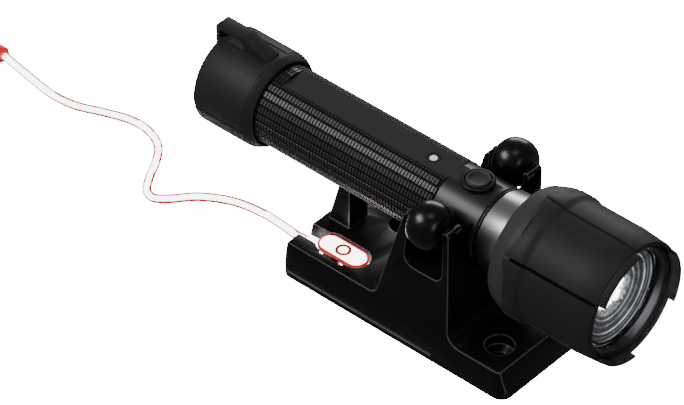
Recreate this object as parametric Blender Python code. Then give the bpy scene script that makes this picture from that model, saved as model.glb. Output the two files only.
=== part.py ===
"""A firefighter's rechargeable hand light, clipped in its charging wall mount, with its magnetic charging lead.

Metres, +Z up. +X runs from the tail of the light to its lens, y = 0 is the plane through the light's axis,
and the origin is the middle of the mount's underside.
"""

import math

import bmesh
import bpy

MM = 0.001

# Driving sizes of the light
CELL_R = 10.6 * MM              # lithium cell, 21 mm class
CELL_L = 70.0 * MM
CELL_GAP = 0.4 * MM             # cell to bore
TUBE_WALL = 2.5 * MM
SEAM_X = 23.5 * MM              # front end of the body tube
COLLAR_L = 17.5 * MM            # smooth band behind the seam
NECK_L = 11.7 * MM              # bright neck shown between the seam and the head
HEAD_L = 42.4 * MM
HEAD_WALL = 3.4 * MM            # the head's rubber bumper over its housing, where it is widest
LENS_R = 16.2 * MM
FOCUS_TRAVEL = 8.0 * MM
BUTTON_R = 3.9 * MM
BUTTON_TRAVEL = 0.7 * MM
FLAT_HALF = 4.7 * MM            # half the width of the flat along the top
CONTACT_R = 2.3 * MM            # charging contact's port in the flat
LUG_HALF = 2.65 * MM            # half the thickness of the lanyard lug
# Driving sizes of the mount
BASE_L = 90.8 * MM
BASE_H = 14.4 * MM              # top of the rear block
LIP_H = 11.1 * MM               # top of the front floor
ROLLER_R = 7.7 * MM
ROLLER_L = 12.0 * MM
EAR_EDGE = 2.15 * MM            # a roller pin's axis to the side of its ear
SCREW_R = 2.2 * MM
SCREW_HEAD_R = 4.6 * MM
POST_L = 8.3 * MM               # post under the tube, along the light
CORE_L = 12.65 * MM             # moulding core under each arm, along the light
CORE_HALF_W = 6.5 * MM
# Driving sizes of the charging lead
PUCK_L = 18.6 * MM
PUCK_W = 8.0 * MM
CABLE_D = 3.0 * MM
# Clearances
SEAT = 0.3 * MM                 # between pieces that seat on each other
RUN = 0.15 * MM                 # radial, between a piece that turns or slides and its guide

# The light, from its axis outwards
BORE_R = CELL_R + CELL_GAP
TUBE_R = BORE_R + TUBE_WALL
COLLAR_R = TUBE_R - 0.4 * MM
CAP_R = TUBE_R + 0.6 * MM
TAIL_R = TUBE_R + 2.8 * MM
SEAT_Z = 16.7 * MM                 # underside of the tube above the rear block
AXIS_Z = BASE_H + SEAT_Z + TUBE_R
FLAT_Z = AXIS_Z + math.sqrt(TUBE_R ** 2 - FLAT_HALF ** 2)

# The light, along its axis
CELL_FRONT = SEAM_X - 30.5 * MM
CELL_REAR = CELL_FRONT - CELL_L
TAIL_BOARD_X = CELL_REAR - 5.4 * MM
CAP_REAR = TAIL_BOARD_X - 3.6 * MM
TAIL_REAR = CAP_REAR - 2.4 * MM
TAIL_FRONT = TAIL_REAR + 24.1 * MM
TUBE_REAR = TAIL_BOARD_X + 1.9 * MM
KNURL_END = SEAM_X - COLLAR_L
BUTTON_X = SEAM_X - 8.9 * MM
CONTACT_X = SEAM_X - 26.5 * MM
NECK_R = TUBE_R - 0.3 * MM
HEAD_REAR = SEAM_X + NECK_L
HEAD_FRONT = HEAD_REAR + HEAD_L
NECK_FRONT = HEAD_REAR + 11.0 * MM
LENS_REAR = NECK_FRONT + FOCUS_TRAVEL + 3.4 * MM
LENS_FRONT = HEAD_FRONT - 7.9 * MM
HOUSING_R = LENS_R + 2.3 * MM
HEAD_R = HOUSING_R + HEAD_WALL
CAVITY_R = NECK_R + 1.9 * MM       # room in the housing for the neck
NOTCH_DEPTH = 2.5 * MM
THROAT_R = NECK_R + RUN

# The mount
BASE_FRONT = BASE_L / 2 - 1.1 * MM
BASE_REAR = BASE_FRONT - BASE_L
EAR_TOP = AXIS_Z + 9.7 * MM
ARM_INNER = TUBE_R + 1.9 * MM
SLOT_Z = AXIS_Z - TUBE_R + 2.4 * MM
ROLLER_X = 12.7 * MM
ROLLER_Z = AXIS_Z + 7.4 * MM
ROLLER_GAP = 0.25 * MM          # roller to the smooth collar
ROLLER_Y = math.sqrt((COLLAR_R + ROLLER_R + ROLLER_GAP) ** 2 - (ROLLER_Z - AXIS_Z) ** 2)
BASE_HALF_W = ROLLER_Y + EAR_EDGE
PIN_R = 1.5 * MM
EAR_GAP = ROLLER_L / 2 + 0.55 * MM
PUCK_X = BASE_REAR + 18.7 * MM
PUCK_Y = -13.15 * MM
CHANNEL_Z = 7.2 * MM            # floor of the cable channel and the pocket
CHANNEL_W = CABLE_D + 3.5 * MM
POST_FRONT = BASE_REAR + 13.4 * MM
POST_HALF_W = 4.4 * MM
FRONT_SCREW = (BASE_FRONT - 10.3 * MM, 11.5 * MM)
REAR_SCREW = (BASE_REAR + 24.5 * MM, 8.5 * MM)
PUCK_TOP = BASE_H + 0.1 * MM
PUCK_BASE = CHANNEL_Z + SEAT

# The lead lies along these points, in millimetres, from the pocket to the plug
LEAD_ROUTE = (
    (-41.2, -13.15, 9.4), (-46.5, -12.9, 9.0), (-50.6, -9.8, 5.4), (-56.5, -6.6, 2.0), (-67.4, -5.9, 1.7),
    (-78.4, -7.8, 1.7), (-88.3, -13.3, 1.7), (-94.7, -20.3, 1.7), (-99.0, -23.4, 1.7), (-103.1, -21.9, 1.7),
    (-106.9, -16.5, 1.7), (-110.9, -9.1, 1.7), (-115.8, -3.4, 1.7), (-123.2, -0.2, 1.7), (-130.9, -0.2, 1.7),
    (-139.5, -3.0, 1.7), (-148.7, -6.6, 1.7), (-158.4, -7.8, 1.9), (-168.6, -7.1, 2.8), (-181.4, -5.9, 4.2),
)
PLUG_X = LEAD_ROUTE[-1][0] * MM
PLUG_Y = LEAD_ROUTE[-1][1] * MM
PLUG_Z = LEAD_ROUTE[-1][2] * MM

ROUND = 40                      # sides of a turned piece


def material(name, colour, metallic=0.0, roughness=0.5):
    """A Principled material, found again by name."""
    made = bpy.data.materials.get(name)
    if made is None:
        made = bpy.data.materials.new(name)
        made.use_nodes = True
        shader = made.node_tree.nodes["Principled BSDF"]
        shader.inputs["Base Color"].default_value = (*colour, 1.0)
        shader.inputs["Metallic"].default_value = metallic
        shader.inputs["Roughness"].default_value = roughness
    return made


def object_of(name, mesh_builder, finish=None, smooth=False):
    """Puts a bmesh in the scene as one object, facing outwards; without a finish it is a cutter."""
    bmesh.ops.recalc_face_normals(mesh_builder, faces=mesh_builder.faces)
    mesh = bpy.data.meshes.new(name)
    mesh_builder.to_mesh(mesh)
    mesh_builder.free()
    made = bpy.data.objects.new(name, mesh)
    bpy.context.scene.collection.objects.link(made)
    if finish is None:
        made.hide_render = True
        made.display_type = "WIRE"
    else:
        mesh.materials.append(finish)
    if smooth:
        for face in mesh.polygons:
            face.use_smooth = True
    return made


def turned(name, profile, finish=None, centre=(0.0, 0.0, 0.0), axis="X", sides=ROUND, smooth=True):
    """Turns a closed profile of (along, radius) points about an axis through the centre."""
    mesh = bmesh.new()
    rings = []
    for along, radius in profile:
        if radius <= 0.0:
            rings.append([mesh.verts.new(placed(along, 0.0, 0.0, centre, axis))] * sides)
            continue
        ring = []
        for step in range(sides):
            turn = math.tau * step / sides
            ring.append(mesh.verts.new(
                placed(along, radius * math.cos(turn), radius * math.sin(turn), centre, axis)))
        rings.append(ring)
    for first, second in zip(rings, rings[1:] + rings[:1]):
        for step in range(sides):
            after = (step + 1) % sides
            corners = []
            for vert in (first[step], first[after], second[after], second[step]):
                if vert not in corners:
                    corners.append(vert)
            if len(corners) > 2:
                mesh.faces.new(corners)
    return object_of(name, mesh, finish, smooth)


def placed(along, across, up, centre, axis):
    """A point given along an axis and across it, moved to the centre."""
    order = {"X": (along, across, up), "Y": (across, along, up), "Z": (across, up, along)}[axis]
    return tuple(value + start for value, start in zip(order, centre))


def prism(name, outline, low, high, axis="Y", finish=None):
    """A straight extrusion of a closed outline; the outline's pairs are the two other axes in X, Y, Z order."""
    mesh = bmesh.new()
    ends = []
    for along in (low, high):
        order = {"X": lambda a, b: (along, a, b), "Y": lambda a, b: (a, along, b), "Z": lambda a, b: (a, b, along)}
        ends.append([mesh.verts.new(order[axis](first, second)) for first, second in outline])
    mesh.faces.new(ends[0])
    mesh.faces.new(ends[1])
    for step in range(len(outline)):
        after = (step + 1) % len(outline)
        mesh.faces.new((ends[0][step], ends[0][after], ends[1][after], ends[1][step]))
    return object_of(name, mesh, finish)


def block(name, low, high, finish=None):
    """A box from its low corner to its high corner."""
    outline = ((low[0], low[1]), (high[0], low[1]), (high[0], high[1]), (low[0], high[1]))
    return prism(name, outline, low[2], high[2], "Z", finish)


def rounded(half_x, half_y, radius, centre=(0.0, 0.0), steps=4):
    """The outline of a rectangle with round corners."""
    points = []
    for corner, (sx, sy) in enumerate(((1, 1), (-1, 1), (-1, -1), (1, -1))):
        for step in range(steps + 1):
            turn = math.pi / 2 * (corner + step / steps)
            points.append((centre[0] + sx * (half_x - radius) + radius * math.cos(turn),
                           centre[1] + sy * (half_y - radius) + radius * math.sin(turn)))
    return points


def combined(target, other, operation="DIFFERENCE"):
    """Adds an exact Boolean to the target; the other object stays as a helper."""
    other.hide_render = True
    other.display_type = "WIRE"
    step = target.modifiers.new(operation.lower() + " " + other.name, "BOOLEAN")
    step.operation = operation
    step.solver = "EXACT"
    step.object = other
    return target


def pivot(parts, name, where):
    """Parents moving pieces to an empty on their joint axis, without moving them."""
    joint = bpy.data.objects.new(name, None)
    joint.location = where
    bpy.context.scene.collection.objects.link(joint)
    bpy.context.view_layer.update()
    for part in parts:
        part.parent = joint
        part.matrix_parent_inverse = joint.matrix_world.inverted()


# --- The mount ---------------------------------------------------------------------------------------------


def cradle():
    """One moulding: base, rear block with the lead's pocket, post under the tube, and two arms joined by a bulkhead."""
    finish = material("mount_plastic", (0.012, 0.012, 0.013), roughness=0.45)
    front_in, rear_in = ROLLER_X + EAR_GAP, ROLLER_X - EAR_GAP
    outline = (
        (BASE_REAR, 0.0), (BASE_FRONT, 0.0), (BASE_FRONT - 1.85 * MM, LIP_H), (front_in + 6.9 * MM, LIP_H),
        (front_in + 4.2 * MM, LIP_H + 0.9 * MM), (front_in + 2.6 * MM, LIP_H + 3.6 * MM),
        (front_in + 2.4 * MM, EAR_TOP - 1.2 * MM), (front_in + 1.6 * MM, EAR_TOP), (front_in, EAR_TOP - 0.6 * MM),
        (front_in, SLOT_Z + 3.2 * MM), (front_in - 1.6 * MM, SLOT_Z + 0.9 * MM), (front_in - 4.2 * MM, SLOT_Z),
        (rear_in + 2.8 * MM, SLOT_Z), (rear_in - 0.4 * MM, SLOT_Z + 1.6 * MM), (rear_in - 1.9 * MM, SLOT_Z + 4.8 * MM),
        (rear_in + 0.1 * MM, EAR_TOP - 0.8 * MM), (rear_in - 0.8 * MM, EAR_TOP),
        (rear_in - 2.2 * MM, EAR_TOP - 1.6 * MM), (rear_in - 3.4 * MM, EAR_TOP - 5.6 * MM),
        (rear_in - 12.2 * MM, BASE_H + 3.2 * MM), (rear_in - 13.4 * MM, BASE_H + 0.9 * MM),
        (rear_in - 15.6 * MM, BASE_H), (BASE_REAR + 3.1 * MM, BASE_H),
    )
    body = prism("cradle", outline, -BASE_HALF_W, BASE_HALF_W, "Y", finish)
    body = combined(body, prism(
        "cradle_plan", rounded(BASE_L / 2, BASE_HALF_W, 4.0 * MM, ((BASE_FRONT + BASE_REAR) / 2, 0.0)),
        -5 * MM, EAR_TOP + 5 * MM, "Z"), "INTERSECT")

    post_rear, post_top = POST_FRONT - POST_L, AXIS_Z - TUBE_R + 2 * MM
    post = prism("cradle_post", (
        (post_rear, BASE_H - 2 * MM), (POST_FRONT, BASE_H - 2 * MM), (POST_FRONT, post_top),
        (POST_FRONT - 3.4 * MM, post_top), (post_rear, BASE_H + 1.0 * MM)), -POST_HALF_W, POST_HALF_W, "Y")
    body = combined(body, post, "UNION")

    ways = (
        (-ARM_INNER, EAR_TOP + 6 * MM), (-ARM_INNER, AXIS_Z - 1.0 * MM), (-TUBE_R * 0.72, AXIS_Z - TUBE_R * 0.74),
        (TUBE_R * 0.72, AXIS_Z - TUBE_R * 0.74), (ARM_INNER, AXIS_Z - 1.0 * MM), (ARM_INNER, EAR_TOP + 6 * MM))
    body = combined(body, prism("cradle_way", ways, rear_in - 20 * MM, front_in + 6 * MM, "X"))
    body = combined(body, turned(
        "cradle_saddle", ((-60 * MM, 0), (-60 * MM, TUBE_R + SEAT), (40 * MM, TUBE_R + SEAT), (40 * MM, 0)),
        centre=(0, 0, AXIS_Z), sides=48))

    body = combined(body, prism(
        "cradle_pocket", rounded(PUCK_L / 2 + 0.6 * MM, PUCK_W / 2 + 0.6 * MM, PUCK_W / 2 + 0.5 * MM,
                                 (PUCK_X, PUCK_Y), 6), CHANNEL_Z, BASE_H + 4 * MM, "Z"))
    body = combined(body, block(
        "cradle_channel", (BASE_REAR - 3 * MM, PUCK_Y - CHANNEL_W / 2, CHANNEL_Z),
        (PUCK_X, PUCK_Y + CHANNEL_W / 2, BASE_H + 5 * MM)))
    core_front = front_in - 1.6 * MM
    core_y = ARM_INNER - 4.9 * MM
    for side in (-1, 1):
        body = combined(body, screw_hole(f"cradle_screw_hole_{side}", FRONT_SCREW[0], side * FRONT_SCREW[1],
                                         LIP_H - 5 * MM, LIP_H))
        body = combined(body, block(
            f"cradle_side_groove_{side}", (BASE_REAR + 2.6 * MM, side * BASE_HALF_W - 0.5 * MM, 2.2 * MM),
            (15.2 * MM, side * BASE_HALF_W + 0.5 * MM, 3.4 * MM)))
        body = combined(body, block(
            f"cradle_core_{side}", (core_front - CORE_L, side * core_y - CORE_HALF_W, -2 * MM),
            (core_front, side * core_y + CORE_HALF_W, SLOT_Z - 7.5 * MM)))
        body = combined(body, turned(
            f"cradle_pin_hole_{side}", ((-20 * MM, 0), (-20 * MM, PIN_R + RUN), (20 * MM, PIN_R + RUN), (20 * MM, 0)),
            centre=(ROLLER_X, side * ROLLER_Y, ROLLER_Z), sides=20))
    return combined(body, screw_hole("cradle_rear_hole", *REAR_SCREW, BASE_H - 6.4 * MM, BASE_H))


def screw_hole(name, x, y, seat, top):
    """A cutter for a screw hole that widens above the head's seat."""
    return turned(name, (
        (-1 * MM, 0), (-1 * MM, SCREW_R), (seat, SCREW_R), (seat + 1.4 * MM, SCREW_HEAD_R),
        (top + 6 * MM, SCREW_HEAD_R), (top + 6 * MM, 0)), centre=(x, y, 0), axis="Z", sides=24)


def rollers():
    """Two barrel-shaped rollers that keep the light down, each turning on a pin between the ears."""
    gloss = material("roller_plastic", (0.01, 0.01, 0.01), roughness=0.12)
    steel = material("pin_steel", (0.55, 0.55, 0.56), 1.0, 0.3)
    half, hole = ROLLER_L / 2, PIN_R + RUN
    for side, name in ((-1, "near"), (1, "far")):
        centre = (ROLLER_X, side * ROLLER_Y, ROLLER_Z)
        outside = []
        for step in range(9):
            turn = math.pi * (step / 8 - 0.5) * 0.86
            outside.append((half * math.sin(turn) / math.sin(math.pi * 0.43),
                            ROLLER_R - (ROLLER_R * 0.36) * (1 - math.cos(turn)) / (1 - math.cos(math.pi * 0.43))))
        roller = turned(f"roller_{name}", [(-half, hole), *outside, (half, hole)], gloss, centre, sides=28)
        pivot([roller], f"roller_{name}_axis", centre)
        reach = EAR_GAP + 1.9 * MM
        turned(f"roller_pin_{name}", (
            (-reach, 0), (-reach, PIN_R), (reach, PIN_R), (reach, 0)), steel, centre, sides=16)


# --- The body of the light ---------------------------------------------------------------------------------


def body_tube():
    """The machined tube: knurled grip, flat along the top, smooth collar, and the two ports in the flat."""
    finish = material("anodised_black", (0.03, 0.03, 0.032), 0.7, 0.35)
    thread = CAP_R - 1.75 * MM
    tube = turned("body_tube", (
        (TUBE_REAR, BORE_R), (TUBE_REAR, thread - 0.4 * MM), (TUBE_REAR + 0.4 * MM, thread),
        (TAIL_FRONT - 3.6 * MM, thread), (TAIL_FRONT - 3.6 * MM, TUBE_R), (KNURL_END, TUBE_R),
        (KNURL_END + 0.3 * MM, COLLAR_R), (SEAM_X - 0.5 * MM, COLLAR_R), (SEAM_X, COLLAR_R - 0.4 * MM),
        (SEAM_X, BORE_R)), finish, (0, 0, AXIS_Z), sides=56)
    tube = combined(tube, block(
        "body_flat", (TAIL_FRONT + 4.5 * MM, -9 * MM, FLAT_Z), (BUTTON_X + 7.2 * MM, 9 * MM, FLAT_Z + 9 * MM)))
    tube = combined(tube, turned("body_button_port", (
        (0, 0), (0, BUTTON_R + 0.3 * MM), (AXIS_Z, BUTTON_R + 0.3 * MM), (AXIS_Z, 0)),
        centre=(BUTTON_X, 0, AXIS_Z), axis="Z", sides=28))
    return combined(tube, turned("body_contact_port", (
        (0, 0), (0, CONTACT_R), (AXIS_Z, CONTACT_R), (AXIS_Z, 0)),
        centre=(CONTACT_X, 0, AXIS_Z), axis="Z", sides=24))


def switch():
    """The push button with its ring, its dome switch, and the little board that carries the switch."""
    rubber = material("button_rubber", (0.03, 0.03, 0.03), roughness=0.5)
    turned("button_ring", (
        (FLAT_Z + SEAT, BUTTON_R + 0.35 * MM), (FLAT_Z + SEAT, BUTTON_R + 1.5 * MM),
        (FLAT_Z + 1.1 * MM, BUTTON_R + 1.5 * MM), (FLAT_Z + 1.5 * MM, BUTTON_R + 1.1 * MM),
        (FLAT_Z + 1.5 * MM, BUTTON_R + 0.35 * MM)),
        material("anodised_black", (0.03, 0.03, 0.032)), (BUTTON_X, 0, 0), "Z", 32)
    seat = FLAT_Z - 2.3 * MM
    cap = turned("button_cap", (
        (seat - 0.9 * MM, 0), (seat - 0.9 * MM, 1.3 * MM), (seat, 1.3 * MM), (seat, BUTTON_R - 0.2 * MM),
        (seat + 0.9 * MM, BUTTON_R),
        (FLAT_Z + 1.5 * MM, BUTTON_R), (FLAT_Z + 1.9 * MM, BUTTON_R - 0.5 * MM), (FLAT_Z + 1.5 * MM, BUTTON_R - 1.1 * MM),
        (FLAT_Z + 1.3 * MM, 0)), rubber, (BUTTON_X, 0, 0), "Z", 32)
    pivot([cap], "button_press_axis", (BUTTON_X, 0, FLAT_Z))
    dome = seat - 0.9 * MM - BUTTON_TRAVEL - 0.15 * MM
    turned("dome_switch", (
        (dome - 1.5 * MM, 0), (dome - 1.5 * MM, 2.4 * MM), (dome - 0.5 * MM, 2.4 * MM), (dome - 0.2 * MM, 1.2 * MM),
        (dome, 0)), material("pin_steel", (0.55, 0.55, 0.56)), (BUTTON_X, 0, 0), "Z", 20)
    board_top = dome - 1.5 * MM - SEAT
    block("switch_board", (BUTTON_X - 5.4 * MM, -3.6 * MM, board_top - 1.0 * MM),
          (BUTTON_X + 5.4 * MM, 3.6 * MM, board_top), material("circuit_board", (0.02, 0.12, 0.05)))
    carrier = BORE_R - SEAT
    frame = turned("switch_carrier", (
        (BUTTON_X - 6.6 * MM, 0), (BUTTON_X - 6.6 * MM, carrier), (BUTTON_X + 4.6 * MM, carrier),
        (BUTTON_X + 4.6 * MM, 0)), material("inner_plastic", (0.05, 0.05, 0.05), roughness=0.6),
        (0, 0, AXIS_Z), sides=32)
    combined(frame, block("switch_carrier_bay", (BUTTON_X - 5.7 * MM, -3.9 * MM, board_top - 1.0 * MM - SEAT),
                          (BUTTON_X + 9 * MM, 3.9 * MM, AXIS_Z + 20 * MM)))


def charge_contact():
    """The round magnetic contact in the flat: a pin in an insulating ring."""
    outer = CONTACT_R - 0.2 * MM
    inner = outer - 0.75 * MM
    pin = inner - RUN
    turned("contact_insulator", (
        (FLAT_Z - 2.6 * MM, inner), (FLAT_Z - 2.6 * MM, outer), (FLAT_Z + 0.05 * MM, outer),
        (FLAT_Z + 0.05 * MM, inner)), material("inner_plastic", (0.05, 0.05, 0.05)),
        (CONTACT_X, 0, 0), "Z", 24)
    turned("contact_pin", (
        (FLAT_Z - 2.6 * MM, 0), (FLAT_Z - 2.6 * MM, pin), (FLAT_Z - 0.1 * MM, pin), (FLAT_Z + 0.1 * MM, pin - 0.2 * MM),
        (FLAT_Z + 0.1 * MM, 0)), material("contact_silver", (0.8, 0.8, 0.8), 1.0, 0.25), (CONTACT_X, 0, 0), "Z", 24)


def spring(name, start, end, coil_r, turns, wire_r, finish, sides=12):
    """A compression spring as one coiled wire, whose ends stand clear of what they press on."""
    data = bpy.data.curves.new(name, "CURVE")
    data.dimensions = "3D"
    data.bevel_depth = wire_r
    data.bevel_resolution = 1
    data.use_fill_caps = True
    data.materials.append(finish)
    count = int(turns * sides) + 1
    line = data.splines.new("POLY")
    line.points.add(count - 1)
    for step, point in enumerate(line.points):
        turn = math.tau * step / sides
        along = start + (end - start) * step / (count - 1)
        point.co = (along, coil_r * math.cos(turn), AXIS_Z + coil_r * math.sin(turn), 1.0)
    made = bpy.data.objects.new(name, data)
    bpy.context.scene.collection.objects.link(made)
    return made


def power():
    """The cell, its front contact, the driver board ahead of it and the spring behind it."""
    steel = material("pin_steel", (0.55, 0.55, 0.56))
    turned("cell", (
        (CELL_REAR, 0), (CELL_REAR, CELL_R - 0.5 * MM), (CELL_REAR + 0.5 * MM, CELL_R), (CELL_FRONT - 2.0 * MM, CELL_R),
        (CELL_FRONT - 1.4 * MM, CELL_R - 0.6 * MM), (CELL_FRONT - 1.4 * MM, 4.2 * MM), (CELL_FRONT, 3.8 * MM),
        (CELL_FRONT, 0)), material("cell_wrap", (0.05, 0.12, 0.3), roughness=0.4), (0, 0, AXIS_Z), sides=32)
    board_x = BUTTON_X - 6.6 * MM - SEAT - 1.6 * MM
    turned("driver_board", (
        (board_x, 0), (board_x, BORE_R - SEAT), (board_x + 1.6 * MM, BORE_R - SEAT), (board_x + 1.6 * MM, 0)),
        material("circuit_board", (0.02, 0.12, 0.05)), (0, 0, AXIS_Z), sides=32)
    wire = 0.45 * MM
    spring("front_spring", CELL_FRONT + wire + SEAT, board_x - wire - SEAT, 3.4 * MM, 4, wire, steel)
    spring("tail_spring", TAIL_BOARD_X + wire + SEAT, CELL_REAR - wire - SEAT, 5.2 * MM, 3, wire, steel)


# --- The tail ----------------------------------------------------------------------------------------------


def tail():
    """The screwed tail cap with its contact board and seal, in a rubber bumper that carries the lanyard eye."""
    rubber = material("bumper_rubber", (0.022, 0.022, 0.022), roughness=0.55)
    thread = CAP_R - 1.75 * MM
    centre = (0, 0, AXIS_Z)
    cap_front = TAIL_FRONT - 3.6 * MM - SEAT
    cap = turned("tail_cap", (
        (CAP_REAR, 0), (CAP_REAR, CAP_R - 0.6 * MM), (CAP_REAR + 0.6 * MM, CAP_R), (cap_front, CAP_R),
        (cap_front, thread + RUN), (TAIL_BOARD_X - 1.2 * MM - SEAT, thread + RUN),
        (TAIL_BOARD_X - 1.2 * MM - SEAT, 0)), material("anodised_black", (0.03, 0.03, 0.032)), centre)
    board = turned("tail_board", (
        (TAIL_BOARD_X - 1.2 * MM, 0), (TAIL_BOARD_X - 1.2 * MM, thread - 0.7 * MM), (TAIL_BOARD_X, thread - 0.7 * MM),
        (TAIL_BOARD_X, 0)), material("circuit_board", (0.02, 0.12, 0.05)), centre, sides=32)
    inner = CAP_R + SEAT
    bumper = turned("tail_bumper", (
        (TAIL_REAR, 0), (TAIL_REAR, TAIL_R - 1.7 * MM), (TAIL_REAR + 0.5 * MM, TAIL_R - 0.7 * MM),
        (TAIL_REAR + 1.7 * MM, TAIL_R), (TAIL_FRONT - 4.4 * MM, TAIL_R), (TAIL_FRONT - 2.2 * MM, TAIL_R - 0.5 * MM),
        (TAIL_FRONT, TUBE_R + 1.2 * MM), (TAIL_FRONT, TUBE_R + 0.7 * MM),
        (TAIL_FRONT - 3.4 * MM, inner), (CAP_REAR - SEAT, inner), (CAP_REAR - SEAT, 0)), rubber, centre, sides=48)
    top = AXIS_Z + TUBE_R + 6.7 * MM
    foot = AXIS_Z + TAIL_R - 1.0 * MM
    bumper = combined(bumper, prism("tail_lug", (
        (TAIL_REAR - 1.6 * MM, AXIS_Z + TAIL_R - 4.2 * MM), (TAIL_REAR + 1.7 * MM, AXIS_Z + TAIL_R - 4.2 * MM),
        (TAIL_REAR + 1.9 * MM, AXIS_Z + TAIL_R - 1.5 * MM),
        (TAIL_REAR + 20.6 * MM, foot),
        (TAIL_REAR + 20.0 * MM, foot + 1.1 * MM), (TAIL_REAR + 10.2 * MM, top - 0.2 * MM),
        (TAIL_REAR + 9.4 * MM, top), (TAIL_REAR - 0.8 * MM, top), (TAIL_REAR - 1.6 * MM, top - 0.8 * MM)),
        -LUG_HALF, LUG_HALF, "Y"), "UNION")
    low = AXIS_Z + TAIL_R - 1.1 * MM
    bumper = combined(bumper, prism("tail_eye", (
        (TAIL_REAR + 0.1 * MM, low), (TAIL_REAR + 10.6 * MM, low), (TAIL_REAR + 9.2 * MM, low + 3.5 * MM),
        (TAIL_REAR + 0.1 * MM, low + 3.0 * MM)), -8 * MM, 8 * MM, "Y"))
    pivot([cap, board, bumper], "tail_turn_axis", (TAIL_FRONT, 0, AXIS_Z))


# --- The neck and the light engine -------------------------------------------------------------------------


def neck():
    """The bright neck the head slides on, with the seam seal, the heat plug, the LED board and the LED."""
    centre = (0, 0, AXIS_Z)
    start = SEAM_X + SEAT + 0.6 * MM
    bore = NECK_R - 2.6 * MM
    turned("seam_seal", (
        (SEAM_X + 0.15 * MM, BORE_R + 0.9 * MM), (SEAM_X + 0.15 * MM, TUBE_R - 0.4 * MM),
        (SEAM_X + 0.6 * MM, TUBE_R - 0.4 * MM), (SEAM_X + 0.6 * MM, BORE_R + 0.9 * MM)),
        material("seal_rubber", (0.01, 0.01, 0.01), roughness=0.6), centre)
    spigot = BORE_R - 0.2 * MM
    groove = HEAD_REAR + 6.5 * MM
    turned("neck", (
        (SEAM_X - 3.4 * MM, spigot - 1.6 * MM), (SEAM_X - 3.4 * MM, spigot), (start, spigot), (start, NECK_R - 0.2 * MM),
        (start + 0.3 * MM, NECK_R), (groove, NECK_R), (groove, NECK_R - 1.3 * MM), (groove + 1.9 * MM, NECK_R - 1.3 * MM),
        (groove + 1.9 * MM, NECK_R), (NECK_FRONT, NECK_R), (NECK_FRONT, bore), (start + 6 * MM, bore),
        (start + 3 * MM, spigot - 1.6 * MM)), material("bright_alloy", (0.6, 0.6, 0.62), 1.0, 0.22), centre, sides=48)
    turned("focus_seal", (
        (groove + 0.3 * MM, NECK_R - 1.1 * MM), (groove + 0.3 * MM, NECK_R - 0.1 * MM),
        (groove + 1.6 * MM, NECK_R - 0.1 * MM), (groove + 1.6 * MM, NECK_R - 1.1 * MM)),
        material("seal_rubber", (0.01, 0.01, 0.01)), centre, sides=32)
    plug_r = bore - SEAT
    turned("heat_plug", (
        (NECK_FRONT - 9 * MM, 2.2 * MM), (NECK_FRONT - 9 * MM, plug_r), (NECK_FRONT - 2.4 * MM, plug_r),
        (NECK_FRONT - 2.4 * MM, 2.2 * MM)), material("heat_brass", (0.6, 0.42, 0.15), 1.0, 0.35), centre, sides=32)
    board = NECK_FRONT - 2.4 * MM + SEAT
    turned("led_board", (
        (board, 0), (board, plug_r - 0.3 * MM), (board + 1.3 * MM, plug_r - 0.3 * MM), (board + 1.3 * MM, 0)),
        material("led_board_white", (0.75, 0.75, 0.72), roughness=0.5), centre, sides=32)
    led = board + 1.3 * MM + SEAT
    turned("led", (
        (led, 0), (led, 2.4 * MM), (led + 0.7 * MM, 2.4 * MM), (led + 0.9 * MM, 1.7 * MM), (led + 1.6 * MM, 1.2 * MM),
        (led + 1.9 * MM, 0)), material("led_phosphor", (0.85, 0.75, 0.2), roughness=0.2), centre, sides=24)


# --- The head ----------------------------------------------------------------------------------------------


def panel_grooves(target, radius, start, end):
    """Six shallow grooves along the head between its panels."""
    for step in range(6):
        turn = math.radians(30 + 60 * step)
        mid = (-(radius + 0.3 * MM) * math.cos(turn), (radius + 0.3 * MM) * math.sin(turn))
        across = (math.sin(turn) * 0.45 * MM, math.cos(turn) * 0.45 * MM)
        out = (-math.cos(turn) * 0.75 * MM, math.sin(turn) * 0.75 * MM)
        corners = []
        for a, b in ((-1, -1), (1, -1), (1.9, 2.2), (-1.9, 2.2)):
            corners.append((mid[0] + a * across[0] + b * out[0], AXIS_Z + mid[1] + a * across[1] + b * out[1]))
        target = combined(target, prism(f"head_groove_{step}", corners, start, end, "X"))
    return target


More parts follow.
